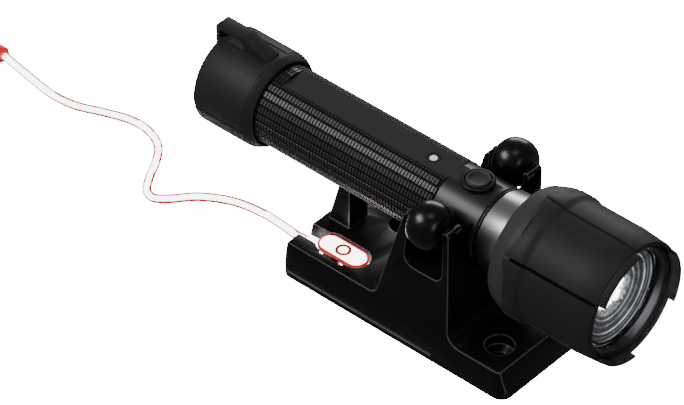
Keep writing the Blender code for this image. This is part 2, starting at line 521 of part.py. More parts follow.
def head():
    """The sliding head: alloy housing, rubber bumper with a notched rim, lens, its seal and the ring before it."""
    centre = (0, 0, AXIS_Z)
    rubber = material("bumper_rubber", (0.022, 0.022, 0.022))
    black = material("anodised_black", (0.03, 0.03, 0.032))
    rear = HEAD_REAR + 1.6 * MM
    cavity = rear + 9.0 * MM
    flange = LENS_FRONT - 2.6 * MM
    lens_room = LENS_R + SEAT
    housing = turned("head_housing", (
        (rear, THROAT_R), (rear, HOUSING_R - 1.0 * MM), (rear + 1.0 * MM, HOUSING_R),
        (HEAD_FRONT - 5.0 * MM, HOUSING_R), (HEAD_FRONT - 5.0 * MM, lens_room), (flange - 0.9 * MM, lens_room),
        (flange - 0.9 * MM, LENS_R - 1.1 * MM), (cavity, CAVITY_R), (cavity, THROAT_R)), black, centre, sides=48)
    mid_r, front_r = HEAD_R - 0.8 * MM, HEAD_R - 1.6 * MM
    inner = HOUSING_R + SEAT
    bumper = turned("head_bumper", (
        (HEAD_REAR, NECK_R + 0.8 * MM), (HEAD_REAR, HEAD_R - 2.1 * MM), (HEAD_REAR + 4.4 * MM, HEAD_R - 0.4 * MM),
        (HEAD_REAR + 6.5 * MM, HEAD_R), (HEAD_REAR + 11.3 * MM, HEAD_R), (HEAD_REAR + 15.6 * MM, mid_r),
        (HEAD_REAR + 31.0 * MM, mid_r), (HEAD_FRONT - 2.6 * MM, front_r), (HEAD_FRONT - 0.5 * MM, front_r - 0.2 * MM),
        (HEAD_FRONT, front_r - 0.7 * MM), (HEAD_FRONT, inner + 0.3 * MM), (HEAD_FRONT - 4.7 * MM, inner),
        (rear - SEAT, inner), (rear - SEAT, NECK_R + 0.8 * MM)), rubber, centre, sides=48)
    for step in range(3):
        turn = math.radians(120 * step)
        half = math.radians(31.5)
        far = HEAD_R * 1.6
        corners = [(0.0, AXIS_Z)]
        for part in range(5):
            angle = turn + half * (part / 2 - 1)
            corners.append((-far * math.cos(angle), AXIS_Z + far * math.sin(angle)))
        bumper = combined(bumper, prism(f"head_notch_{step}", corners, HEAD_FRONT - NOTCH_DEPTH, HEAD_FRONT + 5 * MM, "X"))
    bumper = panel_grooves(bumper, HEAD_R - 0.6 * MM, HEAD_REAR + 5.0 * MM, HEAD_FRONT - NOTCH_DEPTH - 0.2 * MM)
    depth = LENS_FRONT - LENS_REAR
    lens = turned("lens", (
        (LENS_REAR, 5.4 * MM), (LENS_REAR, 6.4 * MM), (flange, LENS_R - 1.8 * MM), (flange, LENS_R),
        (LENS_FRONT - 0.6 * MM, LENS_R), (LENS_FRONT - 0.6 * MM, LENS_R - 0.7 * MM), (LENS_FRONT, LENS_R - 0.9 * MM),
        (LENS_FRONT, 7.0 * MM), (LENS_FRONT - 0.13 * depth, 6.4 * MM), (LENS_FRONT - 0.1 * depth, 3.4 * MM),
        (LENS_FRONT - 0.07 * depth, 0), (LENS_REAR + 0.35 * depth, 0), (LENS_REAR + 0.28 * depth, 3.0 * MM),
        (LENS_REAR + 0.18 * depth, 5.0 * MM)),
        material("lens_clear", (0.9, 0.92, 0.94), roughness=0.03), centre, sides=48)
    seal = turned("lens_seal", (
        (LENS_FRONT - 0.3 * MM, LENS_R - 0.5 * MM), (LENS_FRONT - 0.3 * MM, LENS_R),
        (LENS_FRONT + 0.5 * MM, LENS_R), (LENS_FRONT + 0.5 * MM, LENS_R - 0.5 * MM)),
        material("seal_rubber", (0.01, 0.01, 0.01)), centre, sides=48)
    bezel = turned("bezel_ring", (
        (LENS_FRONT + 0.8 * MM, LENS_R - 0.8 * MM), (LENS_FRONT + 0.8 * MM, LENS_R), (HEAD_FRONT - 5.0 * MM + SEAT, LENS_R),
        (HEAD_FRONT - 5.0 * MM + SEAT, HOUSING_R), (HEAD_FRONT - 4.0 * MM, HOUSING_R), (HEAD_FRONT - 3.6 * MM, HOUSING_R - 0.4 * MM),
        (HEAD_FRONT - 3.6 * MM, HOUSING_R - 1.0 * MM), (HEAD_FRONT - 4.1 * MM, LENS_R - 0.5 * MM)), black, centre, sides=48)
    pivot([housing, bumper, lens, seal, bezel], "head_focus_axis", (HEAD_REAR, 0, AXIS_Z))


# --- The charging lead -------------------------------------------------------------------------------------


def stadium(length, width):
    """The outline of the charging head, shrunk or grown evenly."""
    return rounded(length / 2, width / 2, width / 2 - 0.05 * MM, (PUCK_X, PUCK_Y), 6)


def charging_head():
    """The magnetic head in the mount's pocket: two white shells round a red band, a red rim, and a ring contact."""
    white = material("lead_white", (0.9, 0.9, 0.9), roughness=0.35)
    red = material("lead_red", (0.55, 0.01, 0.02), roughness=0.4)
    low = prism("puck_base", stadium(PUCK_L, PUCK_W), PUCK_BASE, PUCK_BASE + 4.6 * MM, "Z", white)
    neck_x = PUCK_X - PUCK_L / 2
    combined(low, turned("puck_neck", (
        (neck_x - 5.4 * MM, 0), (neck_x - 5.4 * MM, 1.9 * MM), (neck_x - 4.9 * MM, 2.1 * MM), (neck_x + 2.5 * MM, 2.25 * MM),
        (neck_x + 2.5 * MM, 0)), centre=(0, PUCK_Y, PUCK_BASE + 2.3 * MM), sides=16), "UNION")
    prism("puck_band", stadium(PUCK_L - 0.8 * MM, PUCK_W - 0.8 * MM), PUCK_BASE + 4.75 * MM, PUCK_BASE + 5.55 * MM, "Z", red)
    top = prism("puck_top", stadium(PUCK_L - 1.6 * MM, PUCK_W - 1.6 * MM), PUCK_BASE + 5.7 * MM, PUCK_TOP, "Z", white)
    rim = prism("puck_rim", stadium(PUCK_L, PUCK_W), PUCK_BASE + 5.7 * MM, PUCK_TOP - 0.25 * MM, "Z", red)
    combined(rim, prism("puck_rim_hole", stadium(PUCK_L - 1.3 * MM, PUCK_W - 1.3 * MM), 0, 30 * MM, "Z"))
    recess = PUCK_TOP - 0.9 * MM
    combined(top, turned("puck_ring_recess", (
        (recess, 1.5 * MM), (recess, 2.75 * MM), (PUCK_TOP + 3 * MM, 2.75 * MM), (PUCK_TOP + 3 * MM, 1.5 * MM)),
        centre=(PUCK_X, PUCK_Y, 0), axis="Z", sides=24))
    turned("puck_contact_ring", (
        (recess + 0.15 * MM, 1.65 * MM), (recess + 0.15 * MM, 2.6 * MM), (PUCK_TOP + 0.1 * MM, 2.6 * MM),
        (PUCK_TOP + 0.1 * MM, 1.65 * MM)), material("contact_silver", (0.8, 0.8, 0.8)), (PUCK_X, PUCK_Y, 0), "Z", 24)


def smooth_route(points, count):
    """Points at even steps on a smooth curve through the route."""
    line = []
    pieces = len(points) - 1
    for step in range(count):
        at = step * pieces / (count - 1)
        index = min(int(at), pieces - 1)
        t = at - index
        p0, p1 = points[max(index - 1, 0)], points[index]
        p2, p3 = points[index + 1], points[min(index + 2, pieces)]
        line.append(tuple(
            MM * (b + 0.5 * t * (c - a + t * (2 * a - 5 * b + 4 * c - d + t * (3 * (b - c) + d - a))))
            for a, b, c, d in zip(p0, p1, p2, p3)))
    return line


def lead():
    """The cable along its route, with the plug's strain relief, moulding and metal shell at its end."""
    white = material("lead_white", (0.9, 0.9, 0.9))
    red = material("lead_red", (0.55, 0.01, 0.02))
    data = bpy.data.curves.new("cable", "CURVE")
    data.dimensions = "3D"
    data.bevel_depth = CABLE_D / 2
    data.bevel_resolution = 2
    data.use_fill_caps = True
    data.materials.append(white)
    start = (PUCK_X - PUCK_L / 2 - 5.4 * MM - SEAT, PUCK_Y, PUCK_BASE + 2.3 * MM)
    route = [tuple(value / MM for value in start), *LEAD_ROUTE[1:]]
    points = smooth_route(route, 46)
    line = data.splines.new("POLY")
    line.points.add(len(points) - 1)
    for point, place in zip(line.points, points):
        point.co = (*place, 1.0)
    cable = bpy.data.objects.new("cable", data)
    bpy.context.scene.collection.objects.link(cable)

    place = (PLUG_X, PLUG_Y, PLUG_Z)
    turned("plug_relief", (
        (-SEAT, 0), (-SEAT, 2.5 * MM), (-0.8 * MM, 2.75 * MM), (-6.4 * MM, 2.75 * MM), (-6.4 * MM, 0)), red, place, sides=20)
    body_x = PLUG_X - 6.4 * MM - SEAT
    half_t = PLUG_Z - 0.2 * MM
    outline = []
    for along, half in ((0.0, 3.4), (-1.2, 5.2), (-3.0, 6.8), (-5.4, 7.7), (-21.0, 7.7), (-22.0, 7.2)):
        outline.append((body_x + along * MM, half * MM))
    closed = [(x, PLUG_Y + y) for x, y in outline] + [(x, PLUG_Y - y) for x, y in reversed(outline)]
    prism("plug_body", closed, PLUG_Z - half_t, PLUG_Z + half_t, "Z", white)
    shell_x = body_x - 22.0 * MM - SEAT
    shell = block("plug_shell", (shell_x - 11.8 * MM, PLUG_Y - 6.0 * MM, PLUG_Z - 2.25 * MM),
                  (shell_x, PLUG_Y + 6.0 * MM, PLUG_Z + 2.25 * MM), material("contact_silver", (0.8, 0.8, 0.8)))
    combined(shell, block("plug_shell_bore", (shell_x - 14 * MM, PLUG_Y - 5.6 * MM, PLUG_Z - 1.85 * MM),
                          (shell_x - 1.2 * MM, PLUG_Y + 5.6 * MM, PLUG_Z + 1.85 * MM)))
    block("plug_tongue", (shell_x - 10.8 * MM, PLUG_Y - 5.3 * MM, PLUG_Z + 0.1 * MM),
          (shell_x - 1.35 * MM, PLUG_Y + 5.3 * MM, PLUG_Z + 1.6 * MM), material("inner_plastic", (0.05, 0.05, 0.05)))


def main():
    """Builds the mount, the light and the charging lead in an empty scene."""
    for item in list(bpy.data.objects):
        bpy.data.objects.remove(item)
    cradle()
    rollers()
    body_tube()
    switch()
    charge_contact()
    power()
    tail()
    neck()
    head()
    charging_head()
    lead()


main()
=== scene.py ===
"""Finishes and fine shapes of a firefighter's rechargeable hand light, clipped in its charging wall mount.

The light lies along +X from its tail to its lens, above a moulded cradle whose pocket holds the magnetic head
of the charging lead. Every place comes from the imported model; sizes here are those of the fine shapes.
"""

import logging
import math
from collections.abc import Callable, Sequence
from dataclasses import dataclass, field
from enum import Enum

import bmesh
import bpy
from mathutils import Matrix, Vector


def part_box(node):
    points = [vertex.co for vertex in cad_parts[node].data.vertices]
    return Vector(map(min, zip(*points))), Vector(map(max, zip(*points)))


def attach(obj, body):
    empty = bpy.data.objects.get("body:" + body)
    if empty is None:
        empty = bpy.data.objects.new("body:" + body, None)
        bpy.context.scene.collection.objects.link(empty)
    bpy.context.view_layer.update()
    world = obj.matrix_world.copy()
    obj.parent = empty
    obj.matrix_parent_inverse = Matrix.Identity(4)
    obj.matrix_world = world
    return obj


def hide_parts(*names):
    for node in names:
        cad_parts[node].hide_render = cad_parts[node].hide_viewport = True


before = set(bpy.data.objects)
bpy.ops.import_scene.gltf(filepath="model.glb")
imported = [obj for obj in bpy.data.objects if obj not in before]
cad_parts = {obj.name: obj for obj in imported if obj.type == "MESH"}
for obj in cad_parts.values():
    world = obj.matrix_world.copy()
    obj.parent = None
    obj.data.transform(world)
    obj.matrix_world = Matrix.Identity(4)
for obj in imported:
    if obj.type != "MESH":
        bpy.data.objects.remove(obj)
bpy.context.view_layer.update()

MM = 0.001
log = logging.getLogger("hand_light")

Object = bpy.types.Object
Socket = bpy.types.NodeSocket
Profile = Sequence[tuple[float, float]]
Outline = Sequence[tuple[float, float]]


class Axis(Enum):
    """The direction that a piece is turned about or given its thickness along."""

    X = (1.0, 0.0, 0.0)
    Y = (0.0, 1.0, 0.0)
    Z = (0.0, 0.0, 1.0)

    @property
    def vector(self) -> Vector:
        """The unit vector along the axis."""
        return Vector(self.value)

    def across(self, first: float, second: float, along: float) -> Vector:
        """The point with these places on the two other axes, in X, Y, Z order, and along this one."""
        if self is Axis.X:
            return Vector((along, first, second))
        if self is Axis.Y:
            return Vector((first, along, second))
        return Vector((first, second, along))


class Cut(Enum):
    """What a Boolean does with its second piece."""

    AWAY = "DIFFERENCE"
    COMMON = "INTERSECT"
    JOIN = "UNION"


# --- Modelling steps ---------------------------------------------------------------------------------------


def only(piece: Object) -> Object:
    """Deselects everything and makes one piece the selected and active one.

    Args:
        piece: The piece to work on.

    Returns:
        The same piece.
    """
    bpy.ops.object.select_all(action="DESELECT")
    piece.select_set(True)
    bpy.context.view_layer.objects.active = piece
    return piece


def placed_primitive(name: str) -> Object:
    """Names the primitive that was just added and applies its place to its mesh.

    Args:
        name: The piece's name.

    Returns:
        The primitive's object.
    """
    piece = bpy.context.active_object
    piece.name = name
    piece.data.name = name
    only(piece)
    bpy.ops.object.transform_apply(location=True, rotation=True, scale=True)
    return piece


def turn_outwards() -> None:
    """Turns the faces of the piece that is in edit mode outwards, and leaves edit mode."""
    bpy.ops.mesh.select_all(action="SELECT")
    bpy.ops.mesh.normals_make_consistent(inside=False)
    bpy.ops.object.mode_set(mode="OBJECT")


def pick(piece: Object, chosen: Callable[[Vector, Vector], bool], kind: str = "FACE") -> int:
    """Selects, in edit mode, the faces, edges or vertices that a test chooses by place and normal.

    Args:
        piece: The piece, which is in edit mode.
        chosen: Tells from a centre and a normal whether the element is wanted.
        kind: FACE, EDGE or VERT.

    Returns:
        How many elements are selected.
    """
    bpy.ops.mesh.select_mode(type=kind)
    bpy.ops.mesh.select_all(action="DESELECT")
    mesh = bmesh.from_edit_mesh(piece.data)
    count = 0
    if kind == "FACE":
        elements = [(face, face.calc_center_median(), face.normal) for face in mesh.faces]
    elif kind == "EDGE":
        elements = [(edge, (edge.verts[0].co + edge.verts[1].co) / 2, (edge.verts[1].co - edge.verts[0].co))
                    for edge in mesh.edges]
    else:
        elements = [(vert, vert.co, vert.normal) for vert in mesh.verts]
    for element, centre, normal in elements:
        if chosen(centre, normal):
            element.select_set(True)
            count += 1
    mesh.select_flush_mode()
    bmesh.update_edit_mesh(piece.data)
    return count


def turned(name: str, profile: Profile, centre: Vector, axis: Axis = Axis.X, sides: int = 96,
           bored: bool = False) -> Object:
    """Turns a profile: a ring is extruded and resized from point to point, then closed.

    Args:
        name: The piece's name.
        profile: Points (along the axis from the centre, radius), every radius above zero.
        centre: A point on the axis that the profile counts from.
        axis: The axis of turning.
        sides: How many sides the rings have.
        bored: True joins the last ring to the first, and False closes both ends.

    Returns:
        The turned piece.
    """
    lean = {Axis.X: (0.0, math.pi / 2, 0.0), Axis.Y: (math.pi / 2, 0.0, 0.0), Axis.Z: (0.0, 0.0, 0.0)}[axis]
    start, radius = profile[0]
    bpy.ops.object.select_all(action="DESELECT")
    bpy.ops.mesh.primitive_circle_add(
        vertices=sides, radius=radius, fill_type="NOTHING", location=centre + axis.vector * start,
        rotation=lean)
    piece = placed_primitive(name)
    bpy.ops.object.mode_set(mode="EDIT")
    bpy.ops.mesh.select_mode(type="VERT")
    bpy.ops.mesh.select_all(action="SELECT")
    for (before, old), (after, new) in zip(profile, profile[1:]):
        bpy.ops.mesh.extrude_region_move(TRANSFORM_OT_translate={"value": axis.vector * (after - before)})
        scale = new / old
        bpy.ops.transform.resize(value=tuple(1.0 if part else scale for part in axis.value),
                                 center_override=centre + axis.vector * after)
    bpy.ops.mesh.select_all(action="SELECT")
    if bored:
        bpy.ops.mesh.region_to_loop()
        bpy.ops.mesh.bridge_edge_loops()
    else:
        bpy.ops.mesh.fill_holes(sides=0)
    turn_outwards()
    return piece


def slab(name: str, outline: Outline, low: float, high: float, axis: Axis = Axis.Z,
         fillets: Sequence[tuple[tuple[float, float], float]] = ()) -> Object:
    """Gives a flat outline its thickness, after rounding some of its corners.

    Args:
        name: The piece's name.
        outline: The corners, on the two axes across the thickness.
        low: Where the thickness starts along the axis.
        high: Where it ends.
        axis: The axis of the thickness.
        fillets: Corners of the outline, each with the radius that rounds it.

    Returns:
        The solid.
    """
    bpy.ops.object.select_all(action="DESELECT")
    bpy.ops.mesh.primitive_circle_add(vertices=len(outline), radius=1.0, fill_type="NGON")
    piece = placed_primitive(name)
    for vert, (first, second) in zip(piece.data.vertices, outline):
        vert.co = axis.across(first, second, low)
    bpy.ops.object.mode_set(mode="EDIT")
    for (first, second), radius in fillets:
        corner = axis.across(first, second, low)
        pick(piece, lambda place, normal: (place - corner).length < 1e-6, "VERT")
        bpy.ops.mesh.bevel(offset=radius, segments=6, affect="VERTICES", clamp_overlap=True)
    bpy.ops.mesh.select_mode(type="FACE")
    bpy.ops.mesh.select_all(action="SELECT")
    bpy.ops.mesh.extrude_region_move(TRANSFORM_OT_translate={"value": axis.vector * (high - low)})
    turn_outwards()
    return piece


def block(name: str, low: Sequence[float], high: Sequence[float]) -> Object:
    """A box between two corners, for cutting.

    Args:
        name: The piece's name.
        low: The lowest corner.
        high: The highest corner.

    Returns:
        The box.
    """
    size = [top - bottom for bottom, top in zip(low, high)]
    middle = [(top + bottom) / 2 for bottom, top in zip(low, high)]
    bpy.ops.object.select_all(action="DESELECT")
    bpy.ops.mesh.primitive_cube_add(size=1.0, location=middle, scale=size)
    return placed_primitive(name)


def worked(piece: Object, other: Object, cut: Cut = Cut.AWAY) -> Object:
    """Applies a Boolean to a piece and clears the second piece away.

    Args:
        piece: The piece that stays.
        other: The piece that is used up.
        cut: What is done with it.

    Returns:
        The piece that stays.
    """
    only(piece)
    step = piece.modifiers.new("work", "BOOLEAN")
    step.operation = cut.value
    step.solver = "EXACT"
    step.object = other
    bpy.ops.object.modifier_apply(modifier=step.name)
    bpy.data.objects.remove(other)
    return piece


def softened(piece: Object, width: float, segments: int = 2, degrees: float = 35.0,
             clamp: bool = False, finish: int = -1) -> Object:
    """Rounds the sharp edges of a piece, as a mould or a cutter leaves them.

    Args:
        piece: The piece.
        width: The rounding's width.
        segments: How many steps it has.
        degrees: Edges that turn more than this are rounded.
        clamp: Narrows the rounding where the piece is thin.
        finish: Which of the piece's materials the rounding takes, or -1 for its neighbours' own.

    Returns:
        The piece.
    """
    only(piece)
    step = piece.modifiers.new("soften", "BEVEL")
    step.width = width
    step.segments = segments
    step.limit_method = "ANGLE"
    step.angle_limit = math.radians(degrees)
    step.use_clamp_overlap = clamp
    step.material = finish
    step.miter_outer = "MITER_ARC"
    bpy.ops.object.modifier_apply(modifier=step.name)
    return piece


def copied(piece: Object, name: str, turn: float, centre: Vector, axis: Axis = Axis.X) -> Object:
    """Copies a piece with its own mesh, turned about an axis.

    Args:
        piece: The piece to copy.
        name: The copy's name.
        turn: The angle in radians, right-handed about the axis.
        centre: A point on the axis.
        axis: The axis of the turn.

    Returns:
        The copy.
    """
    only(piece)
    bpy.ops.object.duplicate(linked=False)
    copy = bpy.context.active_object
    copy.name = name
    copy.data.name = name
    about = Matrix.Translation(centre) @ Matrix.Rotation(turn, 4, axis.vector) @ Matrix.Translation(-centre)
    copy.matrix_world = about @ copy.matrix_world
    only(copy)
    bpy.ops.object.transform_apply(location=True, rotation=True, scale=True)
    return copy


def cleaned(piece: Object) -> Object:
    """Merges doubled points and turns the faces outwards.

    Args:
        piece: The piece.

    Returns:
        The piece.
    """
    only(piece)
    bpy.ops.object.mode_set(mode="EDIT")
    bpy.ops.mesh.select_all(action="SELECT")
    bpy.ops.mesh.remove_doubles(threshold=0.002 * MM)
    bpy.ops.mesh.dissolve_degenerate(threshold=0.001 * MM)
    turn_outwards()
    return piece


def stadium(centre_x: float, centre_y: float, length: float, width: float, steps: int = 14) -> Outline:
    """The outline of a bar with round ends.

    Args:
        centre_x: Its middle along X.
        centre_y: Its middle along Y.
        length: Its whole length, along X.
        width: Its width, along Y.
        steps: Steps in each round end.

    Returns:
        The outline's points.
    """
    radius, reach = width / 2, (length - width) / 2
    points = []
    for side in (1, -1):
        for step in range(steps + 1):
            turn = math.pi * (step / steps - 0.5)
            points.append((centre_x + side * (reach + radius * math.cos(turn)),
                           centre_y + side * radius * math.sin(turn)))
    return points


# --- Finishes ----------------------------------------------------------------------------------------------


def linear(colour: str) -> tuple[float, float, float, float]:
    """Turns an sRGB hex colour to linear light.

    Args:
        colour: Six hex digits.

    Returns:
        Red, green, blue and alpha.
    """
    parts = [int(colour[start:start + 2], 16) / 255 for start in (0, 2, 4)]
    red, green, blue = [part / 12.92 if part <= 0.04045 else ((part + 0.055) / 1.055) ** 2.4
                        for part in parts]
    return red, green, blue, 1.0


def add_node(tree: bpy.types.NodeTree, kind: str, inputs: dict | None = None, **settings) -> bpy.types.Node:
    """Adds a node with its settings, its constants and its links.

    Args:
        tree: The material's node tree.
        kind: The node's type.
        inputs: For each input, a constant or the socket that feeds it.
        **settings: The node's own properties.

    Returns:
        The node.
    """
    node = tree.nodes.new(kind)
    for name, value in settings.items():
        setattr(node, name, value)
    for name, value in (inputs or {}).items():
        if isinstance(value, Socket):
            tree.links.new(value, node.inputs[name])
        else:
            node.inputs[name].default_value = value
    return node


def sum_node(tree: bpy.types.NodeTree, operation: str, first: Socket, second: Socket | float) -> Socket:
    """Adds a node that works on two numbers.

    Args:
        tree: The material's node tree.
        operation: What it does with them.
        first: The first number.
        second: The second number.

    Returns:
        Its result.
    """
    return add_node(tree, "ShaderNodeMath", {0: first, 1: second}, operation=operation).outputs[0]


@dataclass(frozen=True)
class Finish:
    """A surface with a drifting tone and an even grain: the moulded, cast and blasted finishes."""

    name: str
    colour: str
    shade: str
    roughness: float
    spread: float = 0.06
    metallic: float = 0.0
    specular: float = 0.5
    grain: float = 0.5 * MM
    relief: float = 0.02 * MM
    drift: float = 14.0 * MM
    stretch: tuple[float, float, float] = (1.0, 1.0, 1.0)
    coat: float = 0.0
    glow: float = 0.0
    clear: float = 0.0
    index: float = 1.5

    def height(self, tree: bpy.types.NodeTree, place: Socket) -> Socket:
        """The grain that the surface's relief follows.

        Args:
            tree: The material's node tree.
            place: The point in the piece's own space.

        Returns:
            The height, from 0 to 1.
        """
        grain = add_node(tree, "ShaderNodeTexNoise",
                         {"Vector": place, "Scale": 1.0 / self.grain, "Detail": 3.0, "Roughness": 0.6})
        return grain.outputs["Fac"]

    def material(self) -> bpy.types.Material:
        """The finish as a material, made once and then found by its name."""
        found = bpy.data.materials.get(self.name)
        if found:
            return found
        made = bpy.data.materials.new(self.name)
        made.use_nodes = True
        tree = made.node_tree
        tree.nodes.clear()
        here = add_node(tree, "ShaderNodeTexCoord").outputs["Object"]
        place = add_node(tree, "ShaderNodeMapping", {"Vector": here, "Scale": self.stretch}).outputs["Vector"]
        height = self.height(tree, place)
        drift = add_node(tree, "ShaderNodeTexNoise",
                         {"Vector": here, "Scale": 1.0 / self.drift, "Detail": 4.0})
        tone = sum_node(tree, "MULTIPLY", drift.outputs["Fac"], height)
        share = add_node(tree, "ShaderNodeMapRange", {
            "Value": tone, "From Min": 0.1, "From Max": 0.42}).outputs["Result"]
        colour = add_node(tree, "ShaderNodeMix", {0: share, 6: linear(self.shade), 7: linear(self.colour)},
                          data_type="RGBA").outputs[2]
        rough = add_node(tree, "ShaderNodeMapRange", {
            "Value": height, "From Min": 0.3, "From Max": 0.7,
            "To Min": max(0.02, self.roughness - self.spread),
            "To Max": self.roughness + self.spread}).outputs["Result"]
        bump = add_node(tree, "ShaderNodeBump", {"Height": height, "Strength": 0.6, "Distance": self.relief})
        shader = add_node(tree, "ShaderNodeBsdfPrincipled", {
            "Base Color": colour, "Roughness": rough, "Metallic": self.metallic,
            "Specular IOR Level": self.specular, "IOR": self.index, "Coat Weight": self.coat,
            "Coat Roughness": 0.12, "Transmission Weight": self.clear, "Normal": bump.outputs["Normal"]})
        # A glow is painted light: emission that makes the part shine though it is no lamp.
        if self.glow:
            shader.inputs["Emission Color"].default_value = linear(self.colour)
            shader.inputs["Emission Strength"].default_value = self.glow
        add_node(tree, "ShaderNodeOutputMaterial", {"Surface": shader.outputs["BSDF"]})
        return made


@dataclass(frozen=True)
class Spark(Finish):
    """A texture eroded into the mould: flat-topped cells with soft edges, as on ABS housings."""

    def height(self, tree: bpy.types.NodeTree, place: Socket) -> Socket:
        """Rounded cells with a finer grain on them.

        Args:
            tree: The material's node tree.
            place: The point in the piece's own space.

        Returns:
            The height, from 0 to 1.
        """
        cells = add_node(tree, "ShaderNodeTexVoronoi", {"Vector": place, "Scale": 1.0 / self.grain},
                         feature="SMOOTH_F1")
        fine = add_node(tree, "ShaderNodeTexNoise",
                        {"Vector": place, "Scale": 2.5 / self.grain, "Detail": 2.0})
        both = sum_node(tree, "ADD", cells.outputs["Distance"], fine.outputs["Fac"])
        return sum_node(tree, "MULTIPLY", both, 0.55)


@dataclass(frozen=True)
class Lathe(Finish):
    """Turned metal: fine rings round the light's axis, crossed by a faint grain."""

    def height(self, tree: bpy.types.NodeTree, place: Socket) -> Socket:
        """Feed marks of the lathe, which change only along the axis.

        Args:
            tree: The material's node tree.
            place: The point in the piece's own space.

        Returns:
            The height, from 0 to 1.
        """
        along = add_node(tree, "ShaderNodeSeparateXYZ", {"Vector": place}).outputs["X"]
        marks = add_node(tree, "ShaderNodeTexNoise", {"W": along, "Scale": 1.0 / self.grain, "Detail": 3.0},
                         noise_dimensions="1D")
        grit = add_node(tree, "ShaderNodeTexNoise",
                        {"Vector": place, "Scale": 3.0 / self.grain, "Detail": 1.0})
        mixed = add_node(tree, "ShaderNodeMix", {0: 0.3, 2: marks.outputs["Fac"], 3: grit.outputs["Fac"]})
        return mixed.outputs[0]


@dataclass(frozen=True)
class Rings(Finish):
    """A light guide seen from the front: painted glowing rings of more or less light, broken by painted
    glints near its heart.
    """

    axis_z: float = 44.6 * MM
    reach: float = 17.2 * MM
    glow_bands: Sequence[tuple[float, float]] = (
        (0.0, 1.0), (0.26, 0.6), (0.36, 0.12), (0.44, 0.03), (0.545, 0.03), (0.56, 0.8), (0.575, 0.03),
        (0.655, 0.03), (0.67, 0.45), (0.685, 0.03), (0.772, 0.03), (0.79, 1.2), (0.808, 0.03), (0.86, 0.03),
        (0.87, 0.3), (0.88, 0.03), (0.945, 0.03), (0.96, 0.8), (0.975, 0.03), (1.0, 0.02))

    def radius(self, tree: bpy.types.NodeTree, here: Socket) -> Socket:
        """The distance from the light's axis, as a share of the optic's radius.

        Args:
            tree: The material's node tree.
            here: The point in the piece's own space.

        Returns:
            The share.
        """
        level = add_node(tree, "ShaderNodeVectorMath", {0: here, 1: (0.0, 0.0, self.axis_z)},
                         operation="SUBTRACT")
        across = add_node(tree, "ShaderNodeVectorMath", {0: level.outputs[0], 1: (0.0, 1.0, 1.0)},
                          operation="MULTIPLY")
        length = add_node(tree, "ShaderNodeVectorMath", {0: across.outputs[0]}, operation="LENGTH")
        return sum_node(tree, "DIVIDE", length.outputs["Value"], self.reach)

    def material(self) -> bpy.types.Material:
        """The plain finish with the rings' painted glow added as emission."""
        made = bpy.data.materials.get(self.name)
        if made:
            return made
        made = super().material()
        tree = made.node_tree
        shader = next(node for node in tree.nodes if node.type == "BSDF_PRINCIPLED")
        here = add_node(tree, "ShaderNodeTexCoord").outputs["Object"]
        share = self.radius(tree, here)
        ramp = add_node(tree, "ShaderNodeValToRGB", {"Fac": share})
        stops = ramp.color_ramp.elements
        while len(stops) < len(self.glow_bands):
            stops.new(0.5)
        for stop, (place, level) in zip(stops, self.glow_bands):
            stop.position = place
            stop.color = (level, level, level, 1.0)
        sweep = add_node(tree, "ShaderNodeTexNoise", {"Vector": here, "Scale": 1.0 / (7 * MM), "Detail": 1.0})
        uneven = add_node(tree, "ShaderNodeMapRange", {
            "Value": sweep.outputs["Fac"], "From Min": 0.35, "From Max": 0.62,
            "To Min": 0.25, "To Max": 1.25})
        shards = add_node(tree, "ShaderNodeTexVoronoi", {"Vector": here, "Scale": 1.0 / (0.9 * MM)})
        broken = add_node(tree, "ShaderNodeMapRange", {
            "Value": shards.outputs["Color"], "From Min": 0.35, "From Max": 0.75})
        inside = add_node(tree, "ShaderNodeMapRange", {
            "Value": share, "From Min": 0.36, "From Max": 0.52, "To Min": 1.4, "To Max": 0.0})
        spark = sum_node(tree, "MULTIPLY", broken.outputs["Result"], inside.outputs["Result"])
        arcs = sum_node(tree, "MULTIPLY", ramp.outputs["Color"], uneven.outputs["Result"])
        light = sum_node(tree, "ADD", arcs, spark)
        # The rings, their uneven sweep and the glints near the heart are painted light, fed in as emission.
        tree.links.new(light, shader.inputs["Emission Strength"])
        shader.inputs["Emission Color"].default_value = linear("f4f6fa")
        return made


@dataclass(frozen=True)
class Laminate(Finish):
    """A circuit board: lacquer over copper tracks that stand a little proud of the laminate."""

    def height(self, tree: bpy.types.NodeTree, place: Socket) -> Socket:
        """Tracks as the bands between square-cornered cells.

        Args:
            tree: The material's node tree.
            place: The point in the piece's own space.

        Returns:
            The height, from 0 to 1.
        """
        cells = add_node(tree, "ShaderNodeTexVoronoi", {"Vector": place, "Scale": 1.0 / self.grain},
                         distance="MANHATTAN", feature="F1")
        return cells.outputs["Distance"]


# Glass-filled nylon out of a spark-eroded mould: near black, its grain only breaks the light up a little.
MOUNT_NYLON = Spark("glass_filled_nylon_black", "0c0c0d", "070708", 0.42, specular=0.3, grain=0.55 * MM)
# The same nylon along its moulded edges, made pale as a painted edge highlight.
MOUNT_EDGE_HIGHLIGHT = Spark("glass_filled_nylon_painted_edge_highlight", "707073", "58585a", 0.3, specular=0.7, grain=0.55 * MM)
# Polished acetal of the rollers: black with clear reflections and faint polishing haze.
ROLLER_ACETAL = Finish("polished_acetal_black", "070707", "040404", 0.27, 0.04, specular=0.55, grain=1.2 * MM,
                       relief=0.0003 * MM)
# Hard-anodised, bead-blasted aluminium: dark grey, its blasting spreads each highlight into a soft band.
ANODISED = Lathe("hard_anodised_aluminium_black", "3a3a3d", "333336", 0.34, 0.03, metallic=0.3, specular=0.55,
                 grain=0.35 * MM, relief=0.0004 * MM)
# The same anodising on the knurl, made paler as a painted sheen on each pad's crown.
KNURL_PAINTED_SHEEN = Lathe("hard_anodised_aluminium_knurl_painted_sheen", "4a4a4d", "3a3a3d", 0.4, 0.05, metallic=0.3,
                       specular=0.6, grain=0.5 * MM, relief=0.001 * MM)
